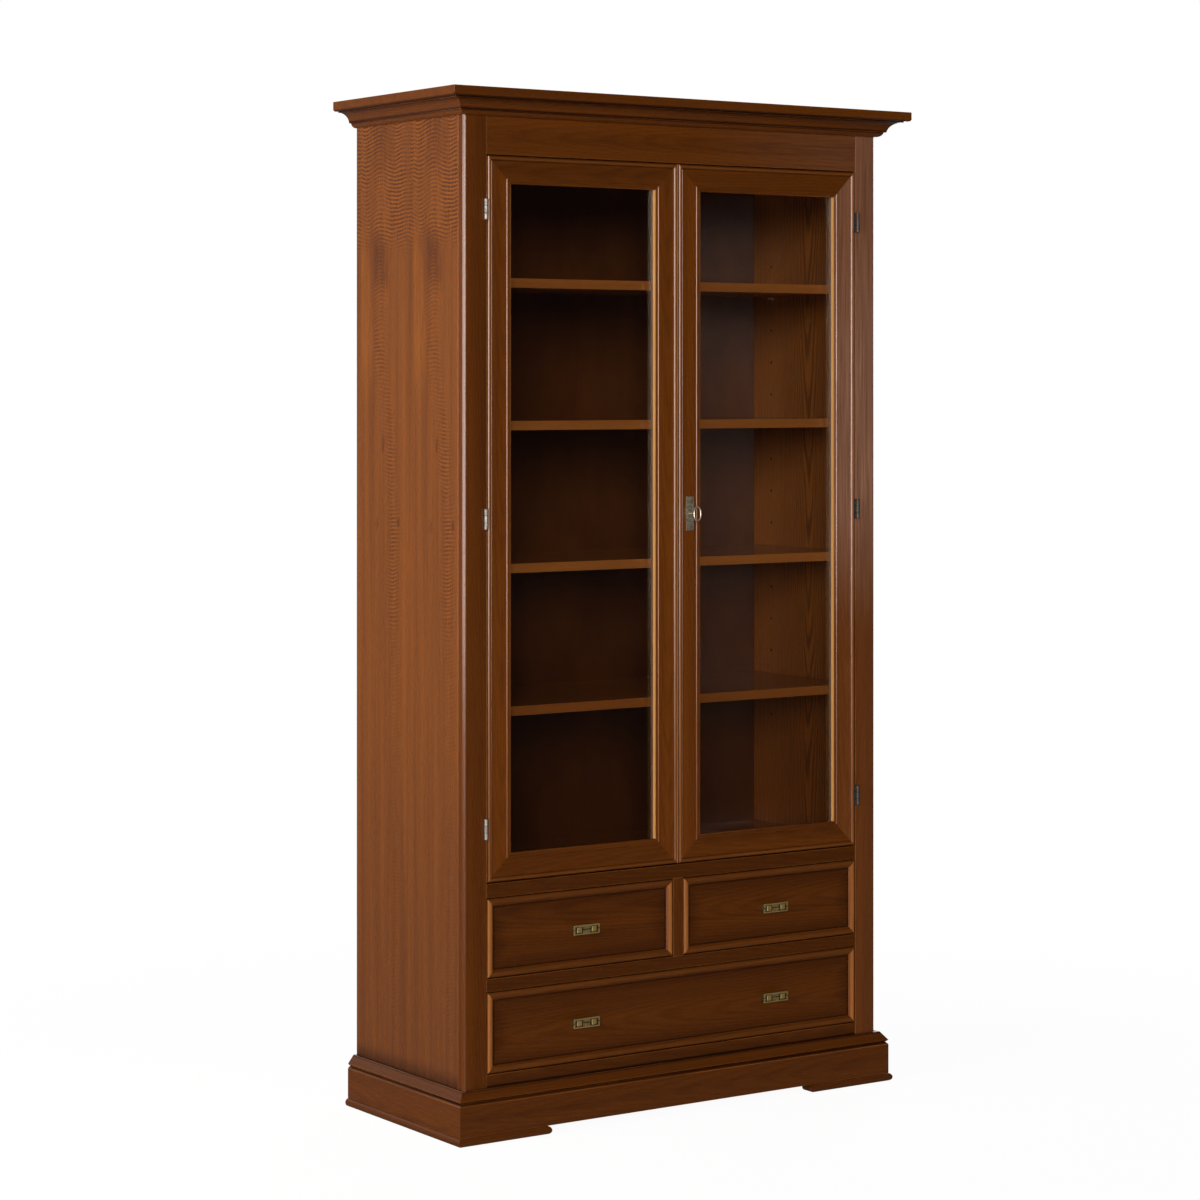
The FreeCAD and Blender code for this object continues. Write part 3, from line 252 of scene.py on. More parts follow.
class BookcaseWood(bpy.types.PropertyGroup):
    """The stains, the grain and the easing of the boards."""

    veneer_light: colour("Veneer, light", "Early wood of the rippled side veneer", (0.330, 0.096, 0.013))
    veneer_dark: colour("Veneer, dark", "Late wood and ripple of the side veneer", (0.100, 0.025, 0.006))
    front_light: colour("Front, light", "Early wood of posts, rails and doors", (0.262, 0.066, 0.004))
    front_dark: colour("Front, dark", "Late wood of posts, rails and doors", (0.100, 0.023, 0.0013))
    # Painted sheen: the paler, greyer wood of the right post and its door stile is a painted reflection.
    painted_sheen_light: colour("Painted sheen, light", "Early wood of the right post and its door stile", (0.475, 0.226, 0.132))
    painted_sheen_dark: colour("Painted sheen, dark", "Late wood of the right post and its door stile", (0.21, 0.092, 0.054))
    post_stain: share("Posts", "How much of the front's brightness the left post and the frieze keep", 0.78)
    # The rails below the doors are darker partly by their stain and partly by painted shade, as less light reaches
    # the lower front.
    rail_stain: share("Rails", "How much of the front's brightness the rails below the doors keep", 0.54)
    door_rail_stain: share("Door rails", "How much of the front's brightness the door rails keep", 0.72)
    # The drawer fields are darker partly by their stain and partly by painted shade for the lower front.
    drawer_stain_and_shade: share("Drawers", "How much of the front's brightness the drawer fields keep", 0.66)
    cornice_stain: share("Cornice", "How much of the front's brightness the cornice keeps", 0.8)
    plinth_stain: share("Plinth", "How much of the front's brightness the plinth keeps", 0.66)
    crest: colour("Worn crest", "Stain rubbed thin on beads and arrises", (0.50, 0.175, 0.040))
    # Worn crest and painted highlight of the drawers' upright mouldings, which face the light.
    crest_and_highlight: colour("Crest and highlight", "Worn crest of the drawers' upright mouldings, with a painted highlight", (0.62, 0.22, 0.048))
    # Painted highlight on the stiles' worn edges, as bright as their lit sight edges.
    edge_highlight: colour("Edge highlight", "Stain rubbed through on the edges of the door stiles", (0.86, 0.42, 0.125))
    inside_light: colour("Inside, light", "Early wood of the sides within", (0.40, 0.115, 0.016))
    inside_dark: colour("Inside, dark", "Late wood of the sides within", (0.17, 0.046, 0.007))
    shelf_light: colour("Shelves, light", "Early wood of the shelves", (0.44, 0.130, 0.024))
    shelf_dark: colour("Shelves, dark", "Late wood of the shelves", (0.24, 0.066, 0.011))
    back_light: colour("Back, light", "Early wood of the back panel", (0.150, 0.040, 0.008))
    back_dark: colour("Back, dark", "Late wood of the back panel", (0.073, 0.019, 0.004))
    rear_light: colour("Rear, light", "Early wood of the back panel's rear", (0.23, 0.085, 0.028))
    rear_dark: colour("Rear, dark", "Late wood of the back panel's rear", (0.10, 0.036, 0.012))
    bare_light: colour("Bare wood, light", "Early wood of the drawer boxes", (0.56, 0.38, 0.20))
    bare_dark: colour("Bare wood, dark", "Late wood of the drawer boxes", (0.36, 0.21, 0.09))
    leaf_width: length("Veneer leaf", "Width of one leaf of the side veneer, repeated across the side", 0.203)
    leaf_start: length("Veneer joint", "How far the first joint between leaves lies behind the post", 0.164)
    ripple_pitch: length("Ripple", "Height of one ripple in the side veneer", 0.0079)
    arris: length("Arris", "How far the boards' edges are eased", 0.0008)
    sheen: share("Sheen", "Roughness of the satin lacquer", 0.27)
    shelf_sheen: share("Shelf sheen", "Roughness of the shelves' lacquer", 0.2)
    rear_sheen: share("Rear sheen", "Roughness of the back panel's unlacquered rear", 0.75)
    bead_sheen: share("Bead sheen", "Roughness of the beads behind the panes, which are hardly lacquered", 0.7)


class BookcaseMetal(bpy.types.PropertyGroup):
    """The metals of pulls, hinges, lock and fixings."""

    brass_bright: colour("Brass, rubbed", "Pulls where hands rub them", (0.44, 0.30, 0.10))
    brass_dark: colour("Brass, dark", "Patina in the hollows of the pulls", (0.13, 0.090, 0.036))
    plate_bright: colour("Key plate, rubbed", "Key plate where keys rub it", (0.42, 0.36, 0.25))
    plate_dark: colour("Key plate, dark", "Patina of the key plate", (0.09, 0.075, 0.052))
    key_bright: colour("Key", "The plated key and the bolts", (0.62, 0.56, 0.45))
    key_dark: colour("Key, worn", "Dull patches of the key and the bolts", (0.34, 0.28, 0.20))
    hinge_bright: colour("Hinge", "Nickel of the hinges", (0.33, 0.30, 0.25))
    hinge_dark: colour("Hinge, dull", "Dull patches of the hinges", (0.17, 0.15, 0.125))
    steel_bright: colour("Steel", "Lock case and screws", (0.52, 0.51, 0.50))
    steel_dark: colour("Steel, dull", "Oiled patches of lock case and screws", (0.20, 0.19, 0.19))


class BookcaseGlass(bpy.types.PropertyGroup):
    """The panes."""

    tint: colour("Pane", "What the panes let through", (0.94, 0.955, 0.945))
    smear: share("Smears", "Roughness where the panes were wiped", 0.05)


class BookcaseStage(bpy.types.PropertyGroup):
    """The studio round the bookcase."""

    floor: colour("Floor", "The floor's paint", (0.92, 0.92, 0.92))
    floor_shade: share("Floor shade", "How much of the shadow the floor shows", 0.05)
    side_power: watts("Side lamp", "Wide soft lamp at the left", 79.0)
    line_power: watts("Line lamp", "Wide lamp that only shines back from rounded edges", 180.0)
    back_power: watts("Back lamp", "Soft lamp behind the right end", 40.0)
    day: FloatProperty(name="Daylight", description="Even light from beside the camera", default=1.4, min=0.0)
    ambient: share("Room", "Even light of the room", 0.06)
    lens: length("Lens", "Focal length of the camera", 0.096194)


GROUPS = {
    "bookcase_wood": BookcaseWood,
    "bookcase_metal": BookcaseMetal,
    "bookcase_glass": BookcaseGlass,
    "bookcase_stage": BookcaseStage,
}


# Boards


def closed_boards(node):
    """Splits a node into its closed boards: a board ends where every edge has met its neighbour."""
    mesh = frame["nodes"][node].data
    places = [tuple(round(c / PLACE_STEP) for c in vertex.co) for vertex in mesh.vertices]
    boards, faces, unmet = [], [], set()
    for polygon in mesh.polygons:
        corners = [places[i] for i in polygon.vertices]
        faces.append(corners)
        for edge in zip(corners, corners[1:] + corners[:1]):
            if edge[::-1] in unmet:
                unmet.remove(edge[::-1])
            else:
                unmet.add(edge)
        if not unmet:
            boards.append(faces)
            faces = []
    if faces:
        raise RuntimeError(f"node {node} has a board that isn't closed")
    return boards


def solid_board(faces):
    """One board as a bmesh with whole flat faces instead of triangles."""
    board, corners = bmesh.new(), {}
    for face in faces:
        for place in face:
            if place not in corners:
                corners[place] = board.verts.new(Vector(place) * PLACE_STEP)
        board.faces.new([corners[place] for place in face])
    bmesh.ops.dissolve_limit(board, angle_limit=FLAT_TURN, verts=board.verts, edges=board.edges)
    board.normal_update()
    return board


def ease_arrises(board, grain, width, ends_too):
    """Rounds the outer edges that run with the grain, and the others too where the board's ends are free."""
    edges = [
        edge
        for edge in board.edges
        if edge.calc_face_angle_signed(0.0) > EASED_TURN
        and edge.calc_length() > LEAST_EASED
        and (ends_too or abs((edge.verts[0].co - edge.verts[1].co).normalized()[grain]) > WITH_GRAIN)
    ]
    eased = bmesh.ops.bevel(
        board,
        geom=edges,
        offset=width,
        offset_type="OFFSET",
        segments=EASING_SEGMENTS,
        profile=0.5,
        affect="EDGES",
        clamp_overlap=False,
    )
    board.normal_update()
    return set(eased["faces"])


def dress(node, finishes, ends_too=True, outward=None):
    """Stands eased, finished boards in for a CAD node. Boards after the last finish take that one too.

    With an outward direction, the first finish goes on the faces that look that way and the last on the others.
    """
    arris_width = bpy.context.scene.bookcase_wood.arris
    points, faces, tones, face_finish, worn, sharp = [], [], [], [], [], set()
    grain_place, board_low, board_high = [], [], []
    for number, board_faces in enumerate(closed_boards(node)):
        board = solid_board(board_faces)
        low = [min(v.co[k] for v in board.verts) for k in range(3)]
        high = [max(v.co[k] for v in board.verts) for k in range(3)]
        order = sorted(range(3), key=lambda k: low[k] - high[k])
        eased = ease_arrises(board, order[ALONG], arris_width, ends_too)
        luck = random.Random(f"{node} {number}")
        stock = [luck.uniform(0.0, TIMBER_STOCK) for _ in order]
        tone = luck.uniform(-1.0, 1.0)
        first = len(points)
        board.verts.index_update()
        for vertex in board.verts:
            points.append(vertex.co.copy())
            from_low = [vertex.co[k] - low[k] for k in order]
            board_low.extend(from_low)
            board_high.extend(high[k] - vertex.co[k] for k in order)
            grain_place.extend(start + step for start, step in zip(stock, from_low))
            tones.append(tone)
        for face in board.faces:
            faces.append([first + v.index for v in face.verts])
            if outward is None:
                face_finish.append(min(number, len(finishes) - 1))
            else:
                face_finish.append(0 if face.normal.dot(outward) > 0.5 else len(finishes) - 1)
            worn.append(1.0 if face in eased else 0.0)
        for edge in board.edges:
            if edge.calc_face_angle(0.0) > SHARP_TURN:
                sharp.add(frozenset(first + v.index for v in edge.verts))
        board.free()

    mesh = bpy.data.meshes.new(f"{node}_finished")
    mesh.from_pydata(points, [], faces)
    for material in finishes:
        mesh.materials.append(material)
    mesh.polygons.foreach_set("material_index", face_finish)
    mesh.polygons.foreach_set("use_smooth", [True] * len(faces))
    for edge in mesh.edges:
        edge.use_edge_sharp = frozenset(edge.vertices) in sharp
    for label, kind, values in (
        ("grain_place", "FLOAT_VECTOR", grain_place),
        ("board_low", "FLOAT_VECTOR", board_low),
        ("board_high", "FLOAT_VECTOR", board_high),
        ("board_tone", "FLOAT", tones),
    ):
        layer = mesh.attributes.new(label, kind, "POINT")
        layer.data.foreach_set("vector" if kind == "FLOAT_VECTOR" else "value", values)
    mesh.attributes.new("arris", "FLOAT", "FACE").data.foreach_set("value", worn)

    piece = bpy.data.objects.new(mesh.name, mesh)
    bpy.context.scene.collection.objects.link(piece)
    normals = piece.modifiers.new("Flat faces stay flat", "WEIGHTED_NORMAL")
    normals.keep_sharp = True
    cad = frame["nodes"][node]
    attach(piece, cad["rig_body"])
    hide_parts(node)
    return piece


def finish_node(node, material, easing=0.0):
    """Gives a CAD node that stays a finish, and eases its arrises."""
    cad = frame["nodes"][node]
    cad.data.materials[0] = material
    if easing:
        bevel = cad.modifiers.new("Eased arrises", "BEVEL")
        bevel.width = easing
        bevel.segments = EASING_SEGMENTS
        bevel.limit_method = "ANGLE"
        bevel.angle_limit = EASED_TURN


# Finishes


class Finish:
    """The nodes of a material or of the room, put in one after another."""

    def __init__(self, owner):
        owner.use_nodes = True
        self.owner = owner
        self.tree = owner.node_tree
        self.tree.nodes.clear()

    def put(self, kind, values, **settings):
        """Adds a node: sockets among the values are linked, other values are set."""
        node = self.tree.nodes.new("ShaderNode" + kind)
        for key, value in settings.items():
            setattr(node, key, value)
        for key, value in values.items():
            if isinstance(value, bpy.types.NodeSocket):
                self.tree.links.new(value, node.inputs[key])
            else:
                node.inputs[key].default_value = value
        return node

    def sum(self, operation, *values):
        """The result of a sum on one or more numbers."""
        return self.put("Math", dict(enumerate(values)), operation=operation).outputs[0]

    def place(self, operation, *values):
        """The result of a sum on places."""
        return self.put("VectorMath", dict(enumerate(values)), operation=operation).outputs[0]

    def read(self, name):
        """A number that the boards carry."""
        return self.put("Attribute", {}, attribute_name=name).outputs["Fac"]

    def read_place(self, name):
        """A place that the boards carry."""
        return self.put("Attribute", {}, attribute_name=name).outputs["Vector"]

    def split(self, place):
        """A place's three numbers."""
        return self.put("SeparateXYZ", {0: place}).outputs

    def object_place(self):
        """A place in the frame that the whole bookcase shares, at rest."""
        return self.put("TexCoord", {}).outputs["Object"]

    def cloud(self, place, stretch, detail=3.0, roughness=0.55):
        """Noise from 0 to 1, stretched by so many waves a metre in each direction."""
        scaled = self.place("MULTIPLY", place, stretch)
        values = {"Vector": scaled, "Scale": 1.0, "Detail": detail, "Roughness": roughness}
        return self.put("TexNoise", values).outputs["Fac"]

    def between(self, value, start, end, low=0.0, high=1.0):
        """A smooth step of a value from one level to another."""
        values = {"Value": value, "From Min": start, "From Max": end, "To Min": low, "To Max": high}
        return self.put("MapRange", values, interpolation_type="SMOOTHSTEP").outputs[0]

    def near(self, value, middle, reach, core=0.0):
        """1 where a value lies in the core about a middle, falling to 0 as far away as the reach."""
        away = self.sum("ABSOLUTE", self.sum("SUBTRACT", value, middle))
        return self.between(away, core, reach, 1.0, 0.0)

    def weigh(self, level, value, weight):
        """A level moved up and down by a value that lies about a half."""
        return self.sum("MULTIPLY_ADD", self.sum("SUBTRACT", value, 0.5), weight, level)

    def mix(self, factor, first, second):
        """A colour between two colours."""
        plain = [(*c, 1.0) if not isinstance(c, bpy.types.NodeSocket) else c for c in (first, second)]
        return self.put("Mix", {0: factor, 6: plain[0], 7: plain[1]}, data_type="RGBA").outputs[2]

    def darken(self, colour_in, factor, by):
        """A colour times another, as far as the factor says."""
        values = {0: factor, 6: colour_in, 7: (*by, 1.0)}
        return self.put("Mix", values, data_type="RGBA", blend_type="MULTIPLY").outputs[2]

    def bumps(self, height, strength):
        """The direction of a surface with fine relief."""
        values = {"Height": height, "Strength": strength, "Distance": BUMP_DEPTH}
        return self.put("Bump", values).outputs[0]

    def surface(self, shader):
        """Shows a shader's result and hands the material out."""
        self.put("OutputMaterial", {"Surface": shader.outputs[0]})
        return self.owner


def growth_rings(finish, spot, low, high, tone, warp):
    """Late wood of a plain-sawn board: nested arches where the cut meets the rings, dark lines near 1."""
    along = finish.split(spot)[ALONG]
    sideways = finish.sum("MULTIPLY", finish.sum("SUBTRACT", low[ACROSS], high[ACROSS]), 0.5)
    sideways = finish.sum("MULTIPLY_ADD", tone, HEART_SHIFT, sideways)
    inward = finish.sum("ADD", low[THROUGH], HEART_DEPTH)
    in_trunk = finish.put("CombineXYZ", {0: sideways, 1: inward}).outputs[0]
    radius = finish.put("VectorMath", {0: in_trunk}, operation="LENGTH").outputs["Value"]
    radius = finish.sum("MULTIPLY_ADD", along, -TRUNK_TAPER, radius)
    radius = finish.sum("MULTIPLY_ADD", warp, RING_WARP, radius)
    wave = finish.sum("SINE", finish.sum("MULTIPLY", radius, 2 * math.pi / RING_WIDTH))
    away = finish.between(finish.sum("ABSOLUTE", sideways), *RING_REACH, 1.0, 0.0)
    return finish.sum("MULTIPLY", finish.between(wave, *LATE_WOOD), away)


def timber(name, stain, figure, sheen, extra=None, leaves=None):
    """Stained wood: wandering fibres, broad streaks, rings, pores, rubbed arrises and a satin lacquer.

    figure says how strongly each shows, and how much relief the fibres have; extra may change the colour before the
    lacquer; leaves gives the joint and the width of veneer leaves, which repeat.
    """
    light, dark, crest = stain
    finish = Finish(bpy.data.materials.new(name))
    low = finish.split(finish.read_place("board_low"))
    high = finish.split(finish.read_place("board_high"))
    spot = finish.read_place("grain_place")
    if leaves:
        joint, width = leaves
        leaf = finish.sum("FLOORED_MODULO", finish.sum("SUBTRACT", joint, low[ACROSS]), width)
        spot = finish.put("CombineXYZ", {0: low[ALONG], 1: leaf}).outputs[0]
    wander = finish.put("TexNoise", {"Vector": finish.place("MULTIPLY", spot, WANDER_WAVES), "Scale": 1.0})
    bend = finish.place("SUBTRACT", wander.outputs["Color"], (0.5,) * 3)
    fibre_spot = finish.place("ADD", spot, finish.place("MULTIPLY", bend, FIBRE_BEND))
    tone = finish.read("board_tone")
    streak = finish.cloud(fibre_spot, STREAK_WAVES, 3.0, 0.6)
    fibre = finish.cloud(fibre_spot, FIBRE_WAVES, 4.0, 0.6)
    pore = finish.between(finish.cloud(fibre_spot, PORE_WAVES, 1.0), *PORE_START)
    late = growth_rings(finish, spot, low, high, tone, wander.outputs["Fac"])

    level = finish.weigh(0.5, streak, figure["streak"])
    level = finish.weigh(level, fibre, figure["fibre"])
    level = finish.weigh(level, late, -figure["rings"])
    level = finish.sum("MULTIPLY_ADD", tone, figure["tone"], level)
    level = finish.put("Clamp", {"Value": level}).outputs[0]
    shown = finish.mix(level, dark, light)
    shown = finish.darken(shown, finish.sum("MULTIPLY", pore, figure["pores"]), PORE_STAIN)
    if extra:
        shown = extra(finish, shown, spot, low, high, fibre)
    worn = finish.sum("MULTIPLY", finish.read("arris"), finish.between(fibre, 0.35, 0.6, 0.15, 0.5))
    shown = finish.mix(worn, shown, crest)
    depth = finish.sum("MULTIPLY_ADD", pore, -0.7, finish.sum("MULTIPLY", fibre, 0.3))
    relief = figure.get("relief", 1.0)
    spread = relief * SHEEN_SPREAD
    lacquer = finish.put(
        "BsdfPrincipled",
        {
            "Base Color": shown,
            "Roughness": finish.between(fibre, *FIBRE_OPENS, sheen + spread, sheen - spread),
            "Specular IOR Level": LACQUER_GLOSS,
            "Normal": finish.bumps(depth, relief * BUMP_STRENGTH),
        },
    )
    return finish.surface(lacquer)


def worn_metal(name, bright, dark, roughness, patch, metallic=1.0, extra=None):
    """Handled metal: dull patches, specks, fine scratches and a broken shine; patina makes it less metallic."""
    finish = Finish(bpy.data.materials.new(name))
    spot = finish.object_place()
    dull = finish.between(finish.cloud(spot, (patch,) * 3, 4.0, 0.65), *DULL_RISE)
    speck = finish.between(finish.cloud(spot, (patch * SPECK_FINENESS,) * 3, 2.0), *SPECK_RISE)
    scratch = finish.cloud(spot, SCRATCH_WAVES, 2.0)
    shown = finish.mix(dull, bright, dark)
    shown = finish.darken(shown, finish.sum("MULTIPLY", speck, 0.4), SPECK_STAIN)
    if extra:
        shown = extra(finish, shown, finish.split(spot))
    height = finish.sum("MULTIPLY_ADD", scratch, 0.4, finish.sum("MULTIPLY", dull, -0.6))
    metal = finish.put(
        "BsdfPrincipled",
        {
            "Base Color": shown,
            "Metallic": metallic,
            "Roughness": finish.between(dull, 0.0, 1.0, roughness, roughness + DULL_SPREAD),
            "Normal": finish.bumps(height, 0.15),
        },
    )
    return finish.surface(metal)


def pane_glass(name, tint, smear):
    """Clear float glass with faint wiping marks, which shines by the same law from inside and outside."""
    finish = Finish(bpy.data.materials.new(name))
    cloud = finish.cloud(finish.object_place(), WIPING_WAVES, 4.0, 0.6)
    wiped = finish.between(cloud, 0.4, 0.7, 0.0, smear)
    shine = finish.put("BsdfGlossy", {"Color": (1.0, 1.0, 1.0, 1.0), "Roughness": wiped})
    through = finish.put("BsdfTransparent", {"Color": (*tint, 1.0)})
    inside = finish.put("NewGeometry", {}).outputs["Backfacing"]
    bending = finish.put("Mix", {0: inside, 2: GLASS_BENDING, 3: 1 / GLASS_BENDING}, data_type="FLOAT").outputs[0]
    gloss = finish.put("Fresnel", {"IOR": bending}).outputs[0]
    return finish.surface(finish.put("MixShader", {0: gloss, 1: through.outputs[0], 2: shine.outputs[0]}))


def side_figure(pitch, dark, light):
    """The figure of the side veneer, the same in each leaf: ripples, a ladder, a flame, a glow and small knots;
    painted shade toward the foot, and a darker band above the plinth's cap.
    """

    def figured(finish, stain, spot, low, high, fibre):
        along, leaf, _ = finish.split(spot)
        drift = finish.cloud(spot, DRIFT_WAVES, 2.0)
        sway = finish.sum("SINE", finish.sum("MULTIPLY", leaf, 2 * math.pi / RIPPLE_SWAY))
        turns = finish.sum("MULTIPLY_ADD", along, 1.0 / pitch, finish.sum("MULTIPLY", sway, SWAY_TURNS))
        turns = finish.sum("MULTIPLY_ADD", drift, DRIFT_TURNS, turns)
        wave = finish.sum("SINE", finish.sum("MULTIPLY", turns, 2 * math.pi))
        wave = finish.weigh(wave, finish.cloud(spot, BREAK_WAVES, 2.0), BREAK_WEIGHT)
        wave = finish.between(wave, *RIPPLE_RISE)
        patch = finish.between(finish.cloud(spot, PATCH_WAVES, 2.0), *PATCH_RISE)

        crown = finish.between(along, *CROWN_REACH)
        middle = finish.between(along, *LADDER_DRIFT)
        ladder = finish.sum("MULTIPLY", finish.near(leaf, middle, LADDER_REACH), finish.between(along, *LADDER_FADE))
        strength = finish.sum("MULTIPLY", finish.sum("MAXIMUM", crown, ladder), patch)
        dips = finish.sum("MULTIPLY", wave, strength)
        stain = finish.mix(dips, stain, dark)
        glow = finish.sum("MULTIPLY", finish.sum("SUBTRACT", strength, dips), RIPPLE_GLOW)
        stain = finish.mix(glow, stain, light)

        ragged = finish.cloud(spot, RAGGED_WAVES, 4.0, 0.65)
        for place, reach, way, amount in VENEER_MARKS:
            spread = finish.sum(
                "MULTIPLY",
                finish.near(along, place[0], reach[0], reach[0] * MARK_CORE),
                finish.near(leaf, place[1], reach[1], reach[1] * MARK_CORE),
            )
            spread = finish.sum("MULTIPLY", spread, finish.between(ragged, 0.3, 0.62, 0.1, amount))
            stain = finish.mix(spread, stain, dark if way == "dark" else light)
        # Painted shade toward the panel's foot.
        stain = finish.darken(stain, finish.between(along, *FOOT_SHADE), FOOT_SHADE_TINT)
        # A darker band just above the plinth's cap.
        return finish.darken(stain, finish.between(along, CAP_LINE, CAP_LINE + CAP_BAND_REACH, 0.75, 0.0), CAP_BAND_TINT)

    return figured


def darkened_field_border(moulding_width):
    """A drawer field is darker in a line along its moulding and in a wider band beside it."""

    def shaded(finish, stain, spot, low, high, fibre):
        near = finish.sum("MINIMUM", low[ALONG], high[ALONG])
        near = finish.sum("MINIMUM", near, finish.sum("MINIMUM", low[ACROSS], high[ACROSS]))
        line = finish.between(near, moulding_width, moulding_width + FIELD_LINE, 0.8, 0.0)
        glow = finish.between(near, moulding_width, moulding_width + FIELD_BAND_REACH, 0.5, 0.0)
        stain = finish.darken(stain, line, FIELD_LINE_TINT)
        return finish.darken(stain, glow, FIELD_BAND_TINT)

    return shaded


def worn_and_lit_crest(crest, height, amount):
    """Beads show thinner stain on their crests, which lie in the board's front face; a bright crest colour there, as
    on the drawers' uprights, is also a painted highlight.
    """

    def rubbed(finish, stain, spot, low, high, fibre):
        worn = finish.between(low[THROUGH], 0.0, height, amount, 0.0)
        return finish.mix(finish.sum("MULTIPLY", worn, finish.between(fibre, 0.3, 0.6, 0.5, 1.0)), stain, crest)

    return rubbed


def worn_and_lit_edges(crest):
    """Door stiles' edges are worn, and painted bright as a highlight where light falls on them."""

    def rubbed(finish, stain, spot, low, high, fibre):
        edge = finish.sum("MINIMUM", low[ACROSS], high[ACROSS])
        return finish.mix(finish.between(edge, 0.0, STILE_EDGE, 0.9, 0.0), stain, crest)

    return rubbed


def darkened_hollow(depth):
    """The hollow beside a door frame's outer bead is darker."""

    def darkened(finish, stain, spot, low, high, fibre):
        return finish.darken(stain, finish.near(low[THROUGH], depth, HOLLOW_REACH), DARK_TINT)

    return darkened


def painted_sheen(light, dark, most=1.0):
    """Painted sheen: paler, greyer wood over the upper part of the right end stands in for a reflection."""

    def shown(finish, stain, spot, low, high, fibre):
        across, _, height = finish.split(finish.object_place())
        amount = finish.sum("MULTIPLY", finish.between(height, *PAINTED_SHEEN_RISE), finish.between(height, *PAINTED_SHEEN_TOP))
        amount = finish.sum("MULTIPLY", amount, finish.between(across, *PAINTED_SHEEN_ACROSS, 0.0, most))
        return finish.mix(amount, stain, finish.mix(finish.between(fibre, *FIBRE_OPENS), dark, light))

    return shown


def painted_shade_below(finish, stain, spot, low, high, fibre):
    """Painted shade that darkens the inside of the cabinet toward its floor."""
    height = finish.split(finish.object_place())[2]
    return finish.darken(stain, finish.between(height, *SHADE_BELOW), INSIDE_SHADE)


def in_turn(*steps):
    """Several changes of a stain, one after another."""

    def changed(finish, stain, spot, low, high, fibre):
        for step in steps:
            stain = step(finish, stain, spot, low, high, fibre)
        return stain

    return changed


def pin_holes(finish, stain, spot, low, high, fibre):
    """Painted shade in the bores of the holes for the shelf pins."""
    across, back, _ = finish.split(finish.object_place())
    rows = (finish.near(back, row, PIN_ROW_REACH, PIN_ROW_REACH * 0.8) for row in PIN_ROWS)
    bore = finish.between(finish.sum("ABSOLUTE", across), INNER_FACE, INNER_FACE + BORE_START)
    return finish.darken(stain, finish.sum("MULTIPLY", bore, finish.sum("MAXIMUM", *rows)), BORE_SHADE)


def mottled(amount):
    """Broad uneven shades of a smooth panel."""

    def shaded(finish, stain, spot, low, high, fibre):
        cloud = finish.cloud(spot, MOTTLE_WAVES, 4.0, 0.6)
        return finish.darken(stain, finish.between(cloud, 0.35, 0.65, 0.0, amount), MOTTLE_STAIN)

    return shaded


def quirk_shade(heights):
    """Painted shade: dark lines in the quirks of a moulding."""

    def darkened(finish, stain, spot, low, high, fibre):
        height = finish.split(finish.object_place())[2]
        for quirk in heights:
            stain = finish.darken(stain, finish.near(height, quirk, QUIRK_REACH), DARK_TINT)
        return stain

    return darkened


def stain_of(kind, depth=1.0):
    """Light, dark and rubbed colour of one of the woods, down to a share of its brightness."""
    wood = bpy.context.scene.bookcase_wood
    light, dark = ([depth * c for c in getattr(wood, f"{kind}_{shade}")] for shade in ("light", "dark"))
    return light, dark, wood.crest


def front_wood(name, depth=1.0, extra=None, sheen=None):
    """The stained wood of the front."""
    figure = {"streak": 1.1, "fibre": 0.5, "rings": 0.14, "tone": 0.08, "pores": 0.5}
    return timber(name, stain_of("front", depth), figure, sheen or bpy.context.scene.bookcase_wood.sheen, extra)


# Operators


class BookcaseOperator(bpy.types.Operator):
    """What the bookcase's operators have in common."""

    bl_options = {"REGISTER", "UNDO"}


class BOOKCASE_OT_side_panels(BookcaseOperator):
    """Veneers the two sides outside and stains them inside"""

    bl_idname = "bookcase.side_panels"
    bl_label = "Side panels"

    def execute(self, context):
        wood = context.scene.bookcase_wood
        figure = {"streak": 1.1, "fibre": 0.45, "rings": 0.0, "tone": 0.0, "pores": 0.35}
        outside = timber(
            "side veneer",
            stain_of("veneer"),
            figure,
            wood.sheen,
            extra=side_figure(wood.ripple_pitch, wood.veneer_dark, wood.veneer_light),
            leaves=(wood.leaf_start, wood.leaf_width),
        )
        figure = {"streak": 0.45, "fibre": 0.25, "rings": 0.75, "tone": 0.05, "pores": 0.3, "relief": 0.4}
        inside = timber("inner side", stain_of("inside"), figure, wood.sheen, in_turn(painted_shade_below, pin_holes))
        for side, outward in (("left", -1.0), ("right", 1.0)):
            dress(f"{side}_side_panel", [outside, inside], outward=Vector((outward, 0.0, 0.0)))
        return {"FINISHED"}


class BOOKCASE_OT_front_frame(BookcaseOperator):
    """Stains the posts, the rails and the muntin of the front"""

    bl_idname = "bookcase.front_frame"
    bl_label = "Front frame"

    def execute(self, context):
        wood = context.scene.bookcase_wood
        post = front_wood("post wood", depth=wood.post_stain)
        rail = front_wood("rail wood", depth=wood.rail_stain, extra=quirk_shade(PLINTH_QUIRKS))
        for node in ("left_front_post", "drawer_muntin"):
            dress(node, [post])
        for node in ("middle_rail", "drawer_rail", "base_rail"):
            dress(node, [rail])
        # Painted sheen on the right post, and less of it on the frieze's right part.
        sheen_paint = painted_sheen(wood.painted_sheen_light, wood.painted_sheen_dark)
        dress("right_front_post", [front_wood("faded post wood", depth=wood.post_stain, extra=sheen_paint)])
        sheen_paint = painted_sheen(wood.painted_sheen_light, wood.painted_sheen_dark, FRIEZE_PAINTED_SHEEN)
        dress("frieze_rail", [front_wood("frieze wood", depth=wood.post_stain, extra=sheen_paint)])
        return {"FINISHED"}


